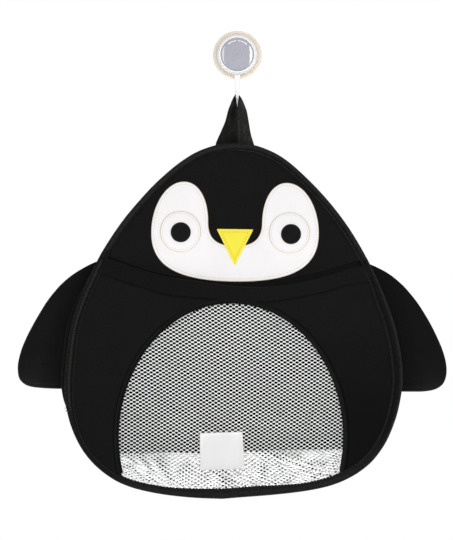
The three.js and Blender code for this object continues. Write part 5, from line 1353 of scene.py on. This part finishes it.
# Painted light: the paleness of the ridges is painted highlight, more on the sides the light falls on.
skin(
    "belly_binding_knit", [bound_edge(front_path, tape_sections, belly_base)],
    tape, "bag", ["belly_binding"], crease=60, cut=tape_sections[..., 2],
)


def sewn_row(far, height):
    """A line along the tape, by its distance in from the edge and height over the belly."""
    lane = bound_edge(front_path, np.stack([far + 0 * run, height + 0 * run], 1)[:, None], belly_base)
    return lane[:, 0]


up = FOAM + TAPE_FIT + TAPE
belly_seams = (
    sewn_row(ridges[:, 5, 0], up + ridges[:, 5, 1] + 0.1),  # in the tape's furrow
    sewn_row(ridges[:, 0, 0] + 0.2, 2.75),  # along its inner edge
    sewn_row(5.3, -2.85),  # behind
)
skin(
    "belly_seam_stitches", [stitches(line, *BELLY_SEAM) for line in belly_seams],
    thread_black, "bag",
)
chain_dull, tree, shader = finish("dull_chain_thread", {"Roughness": 0.7, "Specular IOR Level": 0.05})
mottled(tree, shader, 700, (0.001, 0.001, 0.001, 1), (0.021, 0.021, 0.020, 1))
CHAINS = {  # run along the edge, ridges it lies on, height over the tape, sizes and slant, thread
    "right": ((24, 235), slice(3, 5), -0.25, (3.6, 3.6, 1.9, 0.7), chain_dull),
    "left": ((585, 753), slice(7, 9), 0.1, (2.6, 3.5, 1.5, 0.85), chain_black),
}
for side, (ends, ridge, high, sizes, material) in CHAINS.items():
    chain_line = sewn_row(ridges[:, ridge, 0].mean(1), up + high)[(run > ends[0]) & (run < ends[1])]
    skin(f"belly_chain_{side}", [stitches(chain_line, *sizes)], material, "bag")


# Flippers: paddles of thin padded foam fabric with turned edges. Each one's root is sewn behind
# the back.
FLIPPER_EDGES = {  # (sideways place, drop) from behind the mouth's corner round the tip to the lower root
    -1: [(-136, 122.5), (-150.3, 128.8), (-161.7, 135.3), (-170.9, 141.7), (-178.2, 148.1), (-184.3, 154.5),
         (-194.2, 167.2), (-202.0, 179.9), (-209.1, 192.6), (-215.4, 205.2), (-220.6, 217.9), (-223.9, 230.5),
         (-224.6, 240), (-222.8, 249.4), (-217.1, 255.4), (-208.8, 258.2), (-196.2, 259.3),
         (-183.6, 259.7), (-172, 259.7)],
    1: [(131, 120.3), (144.5, 125.1), (157.9, 131.3), (167.6, 137.4), (175.2, 143.6), (181.7, 149.8),
        (192.3, 162.3), (200.9, 174.8), (208.4, 187.3), (214.8, 199.8), (220.4, 212.3), (224.3, 224.9),
        (225.6, 235), (224.5, 244), (220.6, 251), (213.0, 255.6), (202, 257.7), (190, 258.1), (172, 258.2)],
}
FLIPPER_MID, FLIPPER_FRONT, FLIPPER_BACK = 2.7, 1.35, 1.3  # its middle height, and how far it goes from there
FLIPPER_ROUND = 3.0  # how far in from its edge it is rounded
FLIPPER_ROOT, FLIPPER_ROOT_IN = (127, 255), 9  # drops of its root's ends, and how far in from the back's edge
FLIPPER_PAINTED_SHADE = {-1: (0.0, 0.7), 1: (0.3, 0.15)}  # painted shade all over, and more at the seam, where the bag shades it
FLIPPER_SWELL = 3.2
FLIPPER_SEAM, FLIPPER_SEAM_IN, FLIPPER_SEAM_HALF = 0.4, 3.2, 0.8  # depth, place and half width
FLIPPER_MIDDLE = (192.0, 212.0)  # place to either side and drop where its rows of points close in
FLIPPER_ROWS = np.array([0, 0.3, 1, 1.8, 2.6, 3.4, 4.2, 5.5, 8, 11])  # the first rows, in from its edge
FOLD_HALF = 0.004  # metres: half the width of the fold along its seam
HINGES = {joint["name"]: joint for joint in frame["joints"]}


def flipper(sign):
    """A paddle: its outline drawn in towards a centre row by row, over the front and the back.
    The edge is rounded like an ellipse, the back is flat, and the front swells outside the seam.
    With it, painted light: shade darker towards the seam, where the bag shades it, and a painted
    highlight along the rim."""
    root = shifted(stretch(sign, *FLIPPER_ROOT))[::-1] - (sign * FLIPPER_ROOT_IN, 0)
    outer = flowing(FLIPPER_EDGES[sign], 200)
    outline = even(np.vstack([outer, root, outer[:1]]), 241)[:-1]
    centre = np.array([sign * FLIPPER_MIDDLE[0], FLIPPER_MIDDLE[1]])
    ray = outline - centre
    long = np.linalg.norm(ray, axis=1)
    inner = (long - FLIPPER_ROWS[-1]) * np.linspace(0.96, 0, 30)[:, None]
    remain = np.vstack([long - FLIPPER_ROWS[:, None], inner])
    rows = centre + ray[None] * (remain / long)[:, :, None]
    inwards = long - remain
    soft = np.sqrt(1 - (1 - np.clip(inwards / FLIPPER_ROUND, 0, 1)) ** 2)
    seam = np.interp(rows[..., 1], SIDE[sign][:, 1], SIDE[sign][:, 0])
    outside = np.clip((sign * (rows[..., 0] - seam) - 6) / 26, 0, 1)
    swell = FLIPPER_SWELL * outside * outside * (3 - 2 * outside) * (1 - np.exp(-inwards / 14))
    sewn = FLIPPER_SEAM * np.exp(-(((inwards - FLIPPER_SEAM_IN) / FLIPPER_SEAM_HALF) ** 2))
    ahead = hang(rows[..., 0], rows[..., 1], FLIPPER_MID + soft * FLIPPER_FRONT + swell - sewn)
    behind = hang(rows[..., 0], rows[..., 1], FLIPPER_MID - soft * FLIPPER_BACK)
    away = np.maximum(sign * (rows[..., 0] - seam), 0)
    all_over, at_seam = FLIPPER_PAINTED_SHADE[sign]
    dark = all_over + at_seam * np.exp(-away / 15) - 0.4 * np.exp(-(((inwards - 1.8) / 0.8) ** 2))
    return np.concatenate([ahead[::-1], behind[1:]]), np.concatenate([dark[::-1], dark[1:]])


for side, sign in (("left", -1), ("right", 1)):
    paddle_points, paddle_painted_shade = flipper(sign)
    paddle = skin(
        f"flipper_{side}_padded", [paddle_points], foam,
        replaces=[f"flipper_{side}", f"flipper_root_{side}"], crease=60, cut=paddle_painted_shade,
    )
    hinge = HINGES[f"flipper_{side}_flap"]
    place, axis = np.array(hinge["pos_m"]), np.array(hinge["axis"])
    out = np.array([axis[2], 0, -axis[0]])
    out *= sign * np.sign(out[0]) * FOLD_HALF
    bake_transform(paddle)
